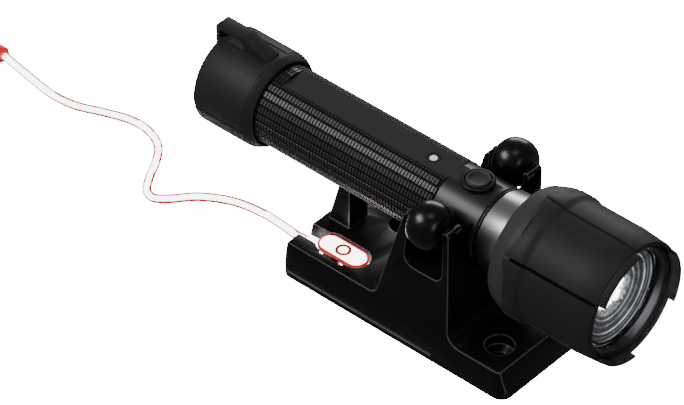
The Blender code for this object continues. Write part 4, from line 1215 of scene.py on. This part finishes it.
@dataclass
class BodyTube:
    """The machined tube: knurled grip with a flat along its top, and the smooth collar."""

    at: Stations
    root_r: float = 13.1 * MM
    outer_r: float = 13.5 * MM
    bore_r: float = 11.0 * MM
    flat_half: float = 4.7 * MM
    row_pitch: float = 11.05
    rows: int = 28
    first_row: float = 115.3
    pad_pitch: float = 1.185 * MM
    row_groove: float = 0.34 * MM
    groove: float = 0.26 * MM
    flat_edge: float = 21.1
    knurl_front: float = 6.0 * MM
    flat_rear: float = -59.9 * MM
    flat_front: float = 21.8 * MM
    thread_r: float = 12.35 * MM
    thread_pitch: float = 1.1 * MM
    thread_turns: int = 10

    def section(self) -> list[float]:
        """The angles of the section's corners, from the flat's near edge over the top and round."""
        edge = math.degrees(math.acos(self.flat_half / self.outer_r))
        top = [edge + (180 - 2 * edge) * step / 4 for step in range(5)]
        half = math.degrees(self.row_groove / 2 / self.root_r)
        rows = []
        for step in range(self.rows + 1):
            middle = self.first_row + self.row_pitch * step
            rows += [middle - half, middle + half]
        return [*top, 180 - edge + 0.9, *rows, 360 + edge - 0.9]

    def grip(self) -> Object:
        """The grip's bar: its section drawn along X in steps of one pad, with the flat pressed in."""
        angles = self.section()
        rear = self.at.tail_front - 3.6 * MM
        steps = round((self.knurl_front - rear) / self.pad_pitch)
        rear = self.knurl_front - steps * self.pad_pitch
        bpy.ops.object.select_all(action="DESELECT")
        bpy.ops.mesh.primitive_circle_add(vertices=len(angles), radius=1.0, fill_type="NOTHING")
        grip = placed_primitive("light_tube")
        for vert, angle in zip(grip.data.vertices, angles):
            vert.co = self.at.around(rear, self.root_r, angle)
        bpy.ops.object.mode_set(mode="EDIT")
        bpy.ops.mesh.select_mode(type="VERT")
        bpy.ops.mesh.select_all(action="SELECT")
        flat_step = round((self.flat_rear - rear) / self.pad_pitch)
        for step in range(steps):
            if step == flat_step:
                self.press_flat(grip, rear + step * self.pad_pitch)
            bpy.ops.mesh.extrude_region_move(TRANSFORM_OT_translate={"value": (self.pad_pitch, 0.0, 0.0)})
        bpy.ops.mesh.select_all(action="SELECT")
        bpy.ops.mesh.fill_holes(sides=0)
        turn_outwards()
        return grip

    def press_flat(self, grip: Object, along: float) -> None:
        """Extrudes the front ring by nothing much and flattens its top points to the flat.

        Args:
            grip: The bar, in edit mode.
            along: Where the front ring is.
        """
        bpy.ops.mesh.extrude_region_move(TRANSFORM_OT_translate={"value": (0.02 * MM, 0.0, 0.0)})
        front = along + 0.01 * MM
        edge = self.flat_half * 1.02
        reach = self.root_r * self.flat_half / self.outer_r
        pick(grip, lambda place, normal: (place.x > front and abs(place.y) < edge
                                          and abs(place.y) <= reach + 0.01 * MM
                                          and place.z > self.at.axis_z), "VERT")
        bpy.ops.transform.resize(value=(1.0, self.flat_half / reach, 0.0),
                                 center_override=(along, 0.0, self.at.flat_z))
        pick(grip, lambda place, normal: place.x > front, "VERT")

    def collar(self) -> Object:
        """The smooth collar with its chamfered seam edge, cut to the flat."""
        seam = self.at.seam_x
        start = self.knurl_front - 0.35 * MM
        collar = turned("collar", (
            (start, self.root_r - 0.02 * MM), (self.knurl_front + 0.15 * MM, self.root_r + 0.01 * MM),
            (seam - 0.5 * MM, self.root_r + 0.01 * MM), (seam - 0.15 * MM, self.root_r - 0.2 * MM),
            (seam, self.root_r - 0.5 * MM)), self.at.centre, sides=144)
        flat = block("flat", (start - 3 * MM, -9 * MM, self.at.flat_z),
                     (self.flat_front, 9 * MM, self.at.flat_z + 9 * MM))
        return worked(collar, flat)

    def pads(self, tube: Object) -> None:
        """Raises each pad of the knurl from its own face, with a chamfered crown."""
        axis_z, half = self.at.axis_z, self.pad_pitch * 0.3

        def is_pad(place: Vector, normal: Vector) -> bool:
            """Tells whether a face is the root of a pad."""
            across = math.hypot(place.y, place.z - axis_z)
            angle = math.degrees(math.atan2(place.z - axis_z, -place.y))
            from_top = abs(angle - 90.0)
            on_top = from_top < self.flat_edge
            clear = not on_top or place.x < self.flat_rear - half
            turn = angle if angle > 112.0 else angle + 360.0
            between = (turn - self.first_row + self.row_pitch / 2) % self.row_pitch - self.row_pitch / 2
            in_row = on_top or abs(between) > 1.2
            return (abs(normal.x) < 0.1 and across > 12.8 * MM and place.x < self.knurl_front - half and clear
                    and in_row and abs(from_top - self.flat_edge) >= 0.8)

        only(tube)
        bpy.ops.object.mode_set(mode="EDIT")
        count = pick(tube, is_pad)
        bpy.ops.mesh.inset(thickness=self.groove / 2, use_individual=True, use_even_offset=True)
        bpy.ops.mesh.extrude_region_shrink_fatten(
            TRANSFORM_OT_shrink_fatten={"value": self.outer_r - self.root_r - 0.1 * MM})
        bpy.ops.mesh.inset(thickness=0.09 * MM, use_individual=True, use_even_offset=True)
        bpy.ops.transform.shrink_fatten(value=0.09 * MM)
        bpy.ops.object.mode_set(mode="OBJECT")
        log.info("the knurl has %d pads", count)

    def paint_groove_shade(self, tube: Object) -> None:
        """Paints shade into the grip's grooves as a flat black floor, and gives the collar its finer finish.

        Args:
            tube: The tube with its pads.
        """
        for finish in (KNURL_PAINTED_SHEEN, ANODISED, GROOVE_PAINTED_SHADE):
            tube.data.materials.append(finish.material())
        for face in tube.data.polygons:
            place = face.center
            across = math.hypot(place.y, place.z - self.at.axis_z)
            on_flat = place.z > self.at.flat_z - 0.03 * MM and abs(place.y) < self.flat_half
            if place.x > self.knurl_front or on_flat:
                face.material_index = 1
            # Faces near the root radius take the painted groove shade.
            elif across < self.root_r + 0.12 * MM:
                face.material_index = 2

    def thread(self) -> None:
        """The thread behind the grip that the tail cap turns on, seen when the cap is off."""
        rear, front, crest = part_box("body_tube")[0].x, self.at.tail_front - 3.7 * MM, self.thread_r
        root = crest - 0.35 * MM
        profile = [(rear, self.bore_r), (rear, crest - 0.4 * MM)]
        for turn in range(self.thread_turns):
            start = rear + 0.4 * MM + self.thread_pitch * turn
            profile += [(start, root), (start + 0.3 * MM, crest), (start + 0.55 * MM, crest),
                        (start + 0.85 * MM, root)]
        profile += [(front, root), (front, self.bore_r)]
        dress(turned("light_thread", profile, self.at.centre, sides=96, bored=True), ANODISED, "light",
              "anodised_black")

    def build(self) -> None:
        """Builds the tube, bores it and its ports, raises its pads, and adds the thread at its tail."""
        tube = worked(self.grip(), self.collar(), Cut.JOIN)
        at = self.at
        worked(tube, turned("bore", ((-90 * MM, self.bore_r), (at.seam_x + 2 * MM, self.bore_r)), at.centre))
        for along, radius in ((at.button_x, 4.2 * MM), (at.contact_x, 2.3 * MM)):
            worked(tube, turned("port", ((at.axis_z, radius), (at.axis_z + 20 * MM, radius)),
                                Vector((along, 0.0, 0.0)), Axis.Z, 64))
        self.pads(tube)
        self.paint_groove_shade(tube)
        dress(tube, KNURL_PAINTED_SHEEN, "light", "anodised_black", "body_tube", degrees=12)
        self.thread()


@dataclass
class PushButton:
    """The rubber button, its skirt, and the round charging contact beside it."""

    at: Stations
    skirt_r: float = 5.4 * MM
    cap_r: float = 3.9 * MM
    dimple_r: float = 2.8 * MM

    def skirt(self) -> Object:
        """The skirt: a steep dark wall with a rounded shoulder."""
        low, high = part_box("button_ring")
        inner = self.cap_r + 0.35 * MM
        profile = [(low.z, inner), (low.z, self.skirt_r - 0.15 * MM), (low.z + 0.15 * MM, self.skirt_r)]
        for step in range(7):
            turn = math.pi / 2 * step / 6
            profile.append((high.z - 0.5 * MM + 0.5 * MM * math.sin(turn),
                            self.skirt_r - 0.75 * MM + 0.75 * MM * math.cos(turn)))
        profile += [(high.z - 0.02 * MM, inner + 0.12 * MM), (high.z - 0.16 * MM, inner)]
        piece = turned("button_skirt", profile, Vector((self.at.button_x, 0.0, 0.0)), Axis.Z, 80, True)
        return dress(piece, SEAL_RUBBER, "light", "anodised_black", "button_ring", degrees=40)

    def cap(self) -> Object:
        """The cap: a rounded crest round a shallow dimple."""
        low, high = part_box("button_cap")
        half = (self.cap_r - self.dimple_r) / 2
        middle = (self.cap_r + self.dimple_r) / 2
        profile = [(low.z, 1.3 * MM), (low.z + 0.9 * MM, 1.3 * MM), (low.z + 0.9 * MM, self.cap_r - 0.2 * MM),
                   (low.z + 1.8 * MM, self.cap_r)]
        for step in range(11):
            turn = math.pi * step / 10
            profile.append((high.z - 0.4 * MM + 0.4 * MM * math.sin(turn), middle + half * math.cos(turn)))
        profile += [(high.z - 0.52 * MM, self.dimple_r - 0.3 * MM), (high.z - 0.6 * MM, 1.5 * MM),
                    (high.z - 0.62 * MM, 0.2 * MM)]
        piece = turned("button_pad", profile, Vector((self.at.button_x, 0.0, 0.0)), Axis.Z, 80)
        return dress(piece, BUTTON_RUBBER, "button", "soft_rubber", "button_cap", degrees=40)

    def contact(self) -> None:
        """The contact's pin and its insulating ring."""
        centre = Vector((self.at.contact_x, 0.0, 0.0))
        low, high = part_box("contact_insulator")
        ring = turned("contact_collar", (
            (low.z, 1.35 * MM), (low.z, 1.9 * MM), (high.z - 0.12 * MM, 1.9 * MM),
            (high.z - 0.06 * MM, 1.8 * MM), (high.z - 0.06 * MM, 1.5 * MM),
            (high.z - 0.12 * MM, 1.35 * MM)), centre, Axis.Z, 48, True)
        dress(ring, SEAL_RUBBER, "light", "inner_plastic", "contact_insulator")
        rim = turned("contact_rim", ((low.z, 1.9 * MM), (low.z, 2.1 * MM), (high.z - 0.04 * MM, 2.1 * MM),
                                     (high.z, 2.06 * MM), (high.z, 1.94 * MM)), centre, Axis.Z, 48, True)
        dress(rim, BUTTON_RUBBER, "light", "contact_metal")
        low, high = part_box("contact_pin")
        pin = turned("contact_stud", (
            (low.z, 1.2 * MM), (high.z - 0.2 * MM, 1.2 * MM), (high.z - 0.06 * MM, 1.12 * MM),
            (high.z, 0.9 * MM), (high.z - 0.04 * MM, 0.4 * MM)), centre, Axis.Z, 48)
        dress(pin, CONTACT_FACE, "light", "contact_metal", "contact_pin")

    def build(self) -> None:
        """Builds the button's and the contact's pieces."""
        self.skirt()
        self.cap()
        self.contact()


# --- The tail ----------------------------------------------------------------------------------------------


@dataclass
class TailEnd:
    """The rubber bumper on the tail cap, with its raised panels, notched rim and lanyard eye."""

    at: Stations
    outer_r: float = 16.3 * MM
    pocket_r: float = 14.4 * MM
    panel_rise: float = 0.35 * MM
    lug_half: float = 2.65 * MM
    notch_depth: float = 0.45 * MM
    reach: float = 30 * MM
    panels: Sequence[tuple[float, float]] = ((-10.0, 70.0), (110.0, 190.0), (-166.0, -94.0), (-86.0, -14.0))
    notches: Sequence[tuple[float, float]] = ((10.0, 56.0), (124.0, 170.0), (-110.0, -70.0))

    def cup(self) -> Object:
        """The bumper's own body, whose front edge narrows onto the tube."""
        rear, front, root = self.at.tail_rear, self.at.tail_front, self.outer_r - self.panel_rise
        return turned("tail_guard", (
            (rear, 1.0 * MM), (rear, root - 1.5 * MM), (rear + 0.3 * MM, root - 0.9 * MM),
            (rear + 0.8 * MM, root - 0.35 * MM), (rear + 1.6 * MM, root), (front - 2.6 * MM, root),
            (front - 2.2 * MM, root - 0.1 * MM), (front - 0.2 * MM, root - 1.2 * MM),
            (front, root - 1.5 * MM), (front, 14.25 * MM), (front - 3.4 * MM, self.pocket_r),
            (rear + 2.1 * MM, self.pocket_r), (rear + 2.1 * MM, 1.0 * MM)), self.at.centre, sides=144)

    def sleeve(self) -> Object:
        """The ring that the raised panels are cut from."""
        rear, front, top = self.at.tail_rear, self.at.tail_front, self.outer_r
        return turned("sleeve", (
            (rear + 0.5 * MM, top - 0.95 * MM), (rear + 0.9 * MM, top - 0.4 * MM), (rear + 1.8 * MM, top),
            (front - 4.4 * MM, top), (front - 3.0 * MM, top - 0.15 * MM), (front - 2.3 * MM, top - 0.75 * MM),
            (front - 2.3 * MM, 15.0 * MM), (rear + 0.5 * MM, 15.0 * MM)), self.at.centre, sides=144,
            bored=True)

    def lug(self) -> Object:
        """The lanyard lug with its eye, on top of the bumper."""
        rear, axis_z = self.at.tail_rear, self.at.axis_z
        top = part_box("tail_bumper")[1].z
        foot = axis_z + self.outer_r - 1.0 * MM
        corners = ((rear - 1.6 * MM, axis_z + 12.1 * MM), (rear + 1.7 * MM, axis_z + 12.1 * MM),
                   (rear + 1.9 * MM, axis_z + 14.8 * MM), (rear + 20.6 * MM, foot),
                   (rear + 20.0 * MM, foot + 1.1 * MM), (rear + 10.2 * MM, top - 0.2 * MM),
                   (rear + 9.4 * MM, top), (rear - 0.8 * MM, top), (rear - 1.6 * MM, top - 0.8 * MM))
        lug = slab("lug", corners, -self.lug_half, self.lug_half, Axis.Y)
        return softened(lug, 0.3 * MM, 2, 30)

    def eye(self) -> Object:
        """The cutter for the lanyard eye, which also planes the bumper under it."""
        rear, low = self.at.tail_rear, self.at.axis_z + self.outer_r - 1.1 * MM
        eye_corners = ((rear + 0.1 * MM, low + 0.3 * MM), (rear + 10.6 * MM, low + 0.3 * MM),
                       (rear + 9.2 * MM, low + 3.5 * MM), (rear + 0.1 * MM, low + 3.0 * MM))
        return slab("eye", eye_corners, -8 * MM, 8 * MM, Axis.Y,
                    [(corner, 0.5 * MM) for corner in eye_corners[2:]])

    def seat(self) -> Object:
        """The cutter for the flat that the lug stands on, as long as the lug."""
        rear, low = self.at.tail_rear, self.at.axis_z + self.outer_r - 1.1 * MM
        return block("seat", (rear + 0.8 * MM, -8 * MM, low), (rear + 19.6 * MM, 8 * MM, low + 4 * MM))

    def build(self) -> None:
        """Builds the bumper and dresses what it covers."""
        at = self.at
        guard = self.cup()
        for start, end in self.notches:
            worked(guard, at.sector(start, end, at.tail_rear - MM, at.tail_rear + self.notch_depth,
                                    self.reach))
        sleeve = self.sleeve()
        for number, (start, end) in enumerate(self.panels):
            panel = copied(sleeve, f"panel_{number}", 0.0, at.centre)
            worked(panel, at.sector(start, end, at.tail_rear - MM, at.tail_front, self.reach), Cut.COMMON)
            worked(guard, panel, Cut.JOIN)
        bpy.data.objects.remove(sleeve)
        cleaned(guard)
        worked(guard, self.seat())
        worked(guard, self.lug(), Cut.JOIN)
        worked(guard, self.eye())
        cleaned(guard)
        dress(guard, BUMPER_RUBBER, "tail", "bumper_rubber", "tail_bumper", degrees=26)
        refinish("tail_cap", ANODISED)
        refinish("tail_board", BOARD_GREEN)


# --- The neck and head -------------------------------------------------------------------------------------


@dataclass
class Neck:
    """The bright neck that the head slides on."""

    at: Stations
    radius: float = 13.2 * MM
    spigot_r: float = 10.8 * MM
    bore_r: float = 10.6 * MM

    def build(self) -> None:
        """Turns the neck with its seal groove and dresses the seals."""
        low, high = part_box("neck")
        start, groove = self.at.seam_x + 0.9 * MM, self.at.head_rear + 6.5 * MM
        inner = self.spigot_r - 1.6 * MM
        neck = turned("light_neck", (
            (low.x, inner), (low.x, self.spigot_r), (start, self.spigot_r), (start, self.radius - 0.3 * MM),
            (start + 0.12 * MM, self.radius - 0.12 * MM), (start + 0.35 * MM, self.radius),
            (groove, self.radius), (groove, self.radius - 1.3 * MM),
            (groove + 1.9 * MM, self.radius - 1.3 * MM), (groove + 1.9 * MM, self.radius),
            (high.x - 0.3 * MM, self.radius), (high.x, self.radius - 0.3 * MM), (high.x, self.bore_r),
            (start + 6 * MM, self.bore_r), (start + 3 * MM, inner)), self.at.centre, sides=144, bored=True)
        dress(neck, BRIGHT_ALLOY, "light", "bright_alloy", "neck")
        refinish("seam_seal", SEAL_RUBBER)
        refinish("focus_seal", SEAL_RUBBER)


@dataclass
class FocusHead:
    """The sliding head: rubber bumper with six panels and a notched rim, bezel, and the optic."""

    at: Stations
    widest_r: float = 21.85 * MM
    bore_r: float = 18.8 * MM
    throat_r: float = 14.0 * MM
    lens_r: float = 16.2 * MM
    panel_rise: float = 0.4 * MM
    groove_half: float = 0.6 * MM
    window_r: float = 17.2 * MM
    notch_depth: float = 2.5 * MM
    notch_half: float = 31.5

    def guard(self) -> Object:
        """The bumper's body: the cone at its rear, the barrel, and the socket for the housing."""
        rear, front, rise = self.at.head_rear, self.at.head_front, self.panel_rise
        wide, mid, rim = self.widest_r - rise, self.widest_r - 0.8 * MM - rise, self.widest_r - 1.6 * MM
        return turned("head_guard", (
            (rear, self.throat_r), (rear, wide - 2.0 * MM), (rear + 0.25 * MM, wide - 1.7 * MM),
            (rear + 4.6 * MM, wide - 0.1 * MM), (rear + 5.6 * MM, wide + 0.12 * MM), (rear + 7.4 * MM, wide),
            (rear + 11.3 * MM, wide), (rear + 13.6 * MM, mid), (rear + 31.0 * MM, mid),
            (front - 3.2 * MM, rim - 0.4 * MM), (front - 2.4 * MM, rim), (front - 0.5 * MM, rim - 0.2 * MM),
            (front - 0.12 * MM, rim - 0.4 * MM), (front, rim - 0.8 * MM), (front, self.bore_r + 0.45 * MM),
            (front - 0.25 * MM, self.bore_r + 0.2 * MM), (front - 4.7 * MM, self.bore_r),
            (rear + 1.3 * MM, self.bore_r), (rear + 1.3 * MM, self.throat_r)), self.at.centre, sides=180,
            bored=True)

    def sleeve(self) -> Object:
        """The ring that the raised panels are cut from, stepping down a quarter of the way along."""
        rear, front, wide = self.at.head_rear, self.at.head_front, self.widest_r
        mid, rim, under = wide - 0.8 * MM, wide - 1.5 * MM, 19.3 * MM
        return turned("sleeve", (
            (rear + 3.9 * MM, wide - 0.35 * MM), (rear + 6.0 * MM, wide), (rear + 11.3 * MM, wide),
            (rear + 11.9 * MM, wide - 0.12 * MM), (rear + 13.2 * MM, mid + 0.08 * MM),
            (rear + 13.9 * MM, mid), (rear + 31.0 * MM, mid),
            (front - self.notch_depth - 0.15 * MM, rim), (front - self.notch_depth - 0.15 * MM, under),
            (rear + 3.9 * MM, under)), self.at.centre, sides=180, bored=True)

    def shade(self, guard: Object) -> None:
        """Paints shade on the guard's groove floors and painted light on its rear cone, before the panels
        cover the rest.

        Args:
            guard: The bumper's body.
        """
        for finish in (BUMPER_RUBBER, BUMPER_GROOVE_SHADE, BUMPER_CONE_PAINTED_LIGHT):
            guard.data.materials.append(finish.material())
        rear, front = self.at.head_rear, self.at.head_front
        for face in guard.data.polygons:
            place = face.center
            radius = math.hypot(place.y, place.z - self.at.axis_z)
            on_top = place.z > self.at.axis_z and abs(place.y) < 2 * MM
            # Groove floors away from the top take painted shade, and the rear cone takes painted light.
            if rear + 6.5 * MM < place.x < front - 3.3 * MM and radius > self.bore_r + MM and not on_top:
                face.material_index = 1
            elif rear + 0.1 * MM < place.x < rear + 6.5 * MM and radius > self.bore_r + 0.8 * MM:
                face.material_index = 2

    def bow(self) -> Object:
        """The cutter that gives a panel its rear edge, which bows forward in the middle."""
        rear, half = self.at.head_rear, self.widest_r / 2
        points = [(rear - 5 * MM, -half - 2 * MM), (rear + 4.9 * MM, -half - 2 * MM)]
        for step in range(17):
            across = 2 * step / 16 - 1
            points.append((rear + 4.9 * MM + 3.1 * MM * (1 - across ** 2), half * across))
        points += [(rear + 4.9 * MM, half + 2 * MM), (rear - 5 * MM, half + 2 * MM)]
        return slab("bow", points, self.at.axis_z + 12 * MM, self.at.axis_z + 30 * MM)

    def panels(self, guard: Object) -> None:
        """Raises the six panels on the bumper.

        Args:
            guard: The bumper's body.
        """
        rear, front = self.at.head_rear, self.at.head_front
        half = 30.0 - math.degrees(self.groove_half / self.widest_r)
        sector = self.at.sector(90.0 - half, 90.0 + half, rear, front + MM)
        panel = worked(self.sleeve(), sector, Cut.COMMON)
        worked(panel, self.bow())
        softened(panel, 0.16 * MM, 2, 30, clamp=True)
        panel.data.materials.append(BUMPER_RUBBER.material())
        for step in range(6):
            turn = math.radians(30 + 60 * step)
            worked(guard, copied(panel, f"panel_{step}", turn, self.at.centre), Cut.JOIN)
        bpy.data.objects.remove(panel)

    def notches(self, guard: Object) -> None:
        """Cuts the three notches that leave three lugs on the rim.

        Args:
            guard: The bumper's body, before its panels.
        """
        front = self.at.head_front
        for middle in (0.0, 120.0, 240.0):
            worked(guard, self.at.sector(middle - self.notch_half, middle + self.notch_half,
                                         front - self.notch_depth, front + 5 * MM))

    def bezel(self) -> None:
        """The dark ring before the lens, with two fine bright-cut grooves."""
        _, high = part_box("bezel_ring")
        lens_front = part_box("lens")[1].x
        outer, inner, seat = self.lens_r + 2.3 * MM, self.window_r, high.x - 1.1 * MM
        rings = [(lens_front + 0.8 * MM, inner), (lens_front + 0.8 * MM, inner + 0.45 * MM),
                 (seat, inner + 0.45 * MM), (seat, outer), (high.x - 0.4 * MM, outer),
                 (high.x - 0.1 * MM, outer - 0.1 * MM), (high.x, outer - 0.3 * MM)]
        for share in (0.3, 0.6):
            along = high.x - 1.6 * MM * share
            radius = outer - 0.3 * MM - (outer - 0.3 * MM - inner) * share
            rings += [(along, radius + 0.1 * MM), (along - 0.16 * MM, radius),
                      (along - 0.06 * MM, radius - 0.08 * MM)]
        dress(turned("head_bezel", rings, self.at.centre, sides=144, bored=True), ANODISED, "head",
              "anodised_black", "bezel_ring", degrees=25)

    def shell(self) -> None:
        """The alloy housing inside the bumper."""
        low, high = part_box("head_housing")
        outer, room, bore = (high.z - low.z) / 2, self.window_r + 0.5 * MM, 13.35 * MM
        profile = ((low.x, bore), (low.x, outer - MM), (low.x + MM, outer), (high.x, outer), (high.x, room),
                   (high.x - 6.4 * MM, room), (high.x - 6.4 * MM, 15.1 * MM), (low.x + 9 * MM, 15.1 * MM),
                   (low.x + 9 * MM, bore))
        dress(turned("head_shell", profile, self.at.centre, sides=96, bored=True), ANODISED, "head",
              "anodised_black", "head_housing")

    def optic(self) -> None:
        """The cover, the ringed optic behind it, and the optic's bright heart."""
        low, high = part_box("lens")
        rim = self.window_r
        cover = turned("lens_cover", (
            (high.x - 0.9 * MM, 0.3 * MM), (high.x - 0.9 * MM, rim - 0.1 * MM),
            (high.x - 0.1 * MM, rim - 0.1 * MM), (high.x, rim - 0.25 * MM), (high.x, 0.3 * MM)),
            self.at.centre, sides=144)
        dress(cover, CLEAR_COVER, "head", "lens_clear", "lens")
        profile = [(low.x + 4.0 * MM, 0.4 * MM), (low.x + 4.0 * MM, 5.6 * MM), (high.x - 4.6 * MM, 14.0 * MM),
                   (high.x - 3.2 * MM, self.lens_r), (high.x - 3.2 * MM, rim), (high.x - 1.2 * MM, rim)]
        rings = 5
        for ring in range(rings):
            radius = rim - 0.9 * MM - ring * 1.9 * MM
            depth = 1.5 * MM + ring * 0.45 * MM
            profile += [(high.x - depth, radius), (high.x - depth + 0.3 * MM, radius - 0.6 * MM),
                        (high.x - depth - 0.1 * MM, radius - 1.3 * MM)]
        profile += [(high.x - 3.9 * MM, 6.6 * MM), (high.x - 4.6 * MM, 5.9 * MM),
                    (high.x - 4.9 * MM, 0.4 * MM)]
        dress(turned("lens_optic", profile, self.at.centre, sides=120), OPTIC, "head", "lens_clear",
              degrees=40)
        self.heart(high.x - 4.7 * MM)

    def heart(self, along: float) -> None:
        """The jagged bright core with a painted glow: a ring of points of uneven length, crowned in the
        middle.

        Args:
            along: Where it stands along X.
        """
        points = []
        count = 44
        for step in range(count):
            turn = math.tau * step / count
            reach = 6.5 + 0.9 * math.cos(7 * turn) * (step % 2) + 0.5 * math.sin(5 * turn) - 0.8 * (step % 2)
            points.append((reach * MM * math.cos(turn), self.at.axis_z + reach * MM * math.sin(turn)))
        core = slab("lens_core", points, along, along + 0.8 * MM, Axis.X)
        softened(core, 0.2 * MM, 2, 30)
        dress(core, OPTIC_HEART_GLOW, "head", "lens_clear")

    def build(self) -> None:
        """Builds the head's pieces and dresses what they cover."""
        guard = self.guard()
        self.notches(guard)
        self.shade(guard)
        self.panels(guard)
        cleaned(guard)
        cleaned(guard)
        dress(guard, BUMPER_RUBBER, "head", "bumper_rubber", "head_bumper", degrees=26)
        self.shell()
        self.bezel()
        self.optic()
        refinish("lens_seal", SEAL_RUBBER)


# --- What is inside ----------------------------------------------------------------------------------------


@dataclass
class Internals:
    """The pieces inside the tube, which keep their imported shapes."""

    finishes: dict[str, Finish] = field(default_factory=lambda: {
        "cell": CELL_WRAP, "front_spring": SPRING_STEEL, "tail_spring": SPRING_STEEL,
        "dome_switch": SPRING_STEEL, "switch_board": BOARD_GREEN, "driver_board": BOARD_GREEN,
        "switch_carrier": INNER_PLASTIC, "heat_plug": BRASS, "led_board": BOARD_WHITE, "led": PHOSPHOR})

    def build(self) -> None:
        """Dresses each piece."""
        for node, finish in self.finishes.items():
            refinish(node, finish)


def main() -> None:
    """Sets the studio and builds the lead, the mount and the light, in that order."""
    logging.basicConfig(level=logging.INFO, format="%(message)s")
    studio = Studio()
    studio.camera()
    ChargingLead().build()
    ChargingHead().build()
    at = Stations.read()
    Cradle(at).build()
    BodyTube(at).build()
    PushButton(at).build()
    TailEnd(at).build()
    Neck(at).build()
    FocusHead(at).build()
    Internals().build()
    studio.floor()
    studio.lamps()


if __name__ == "__main__":
    main()
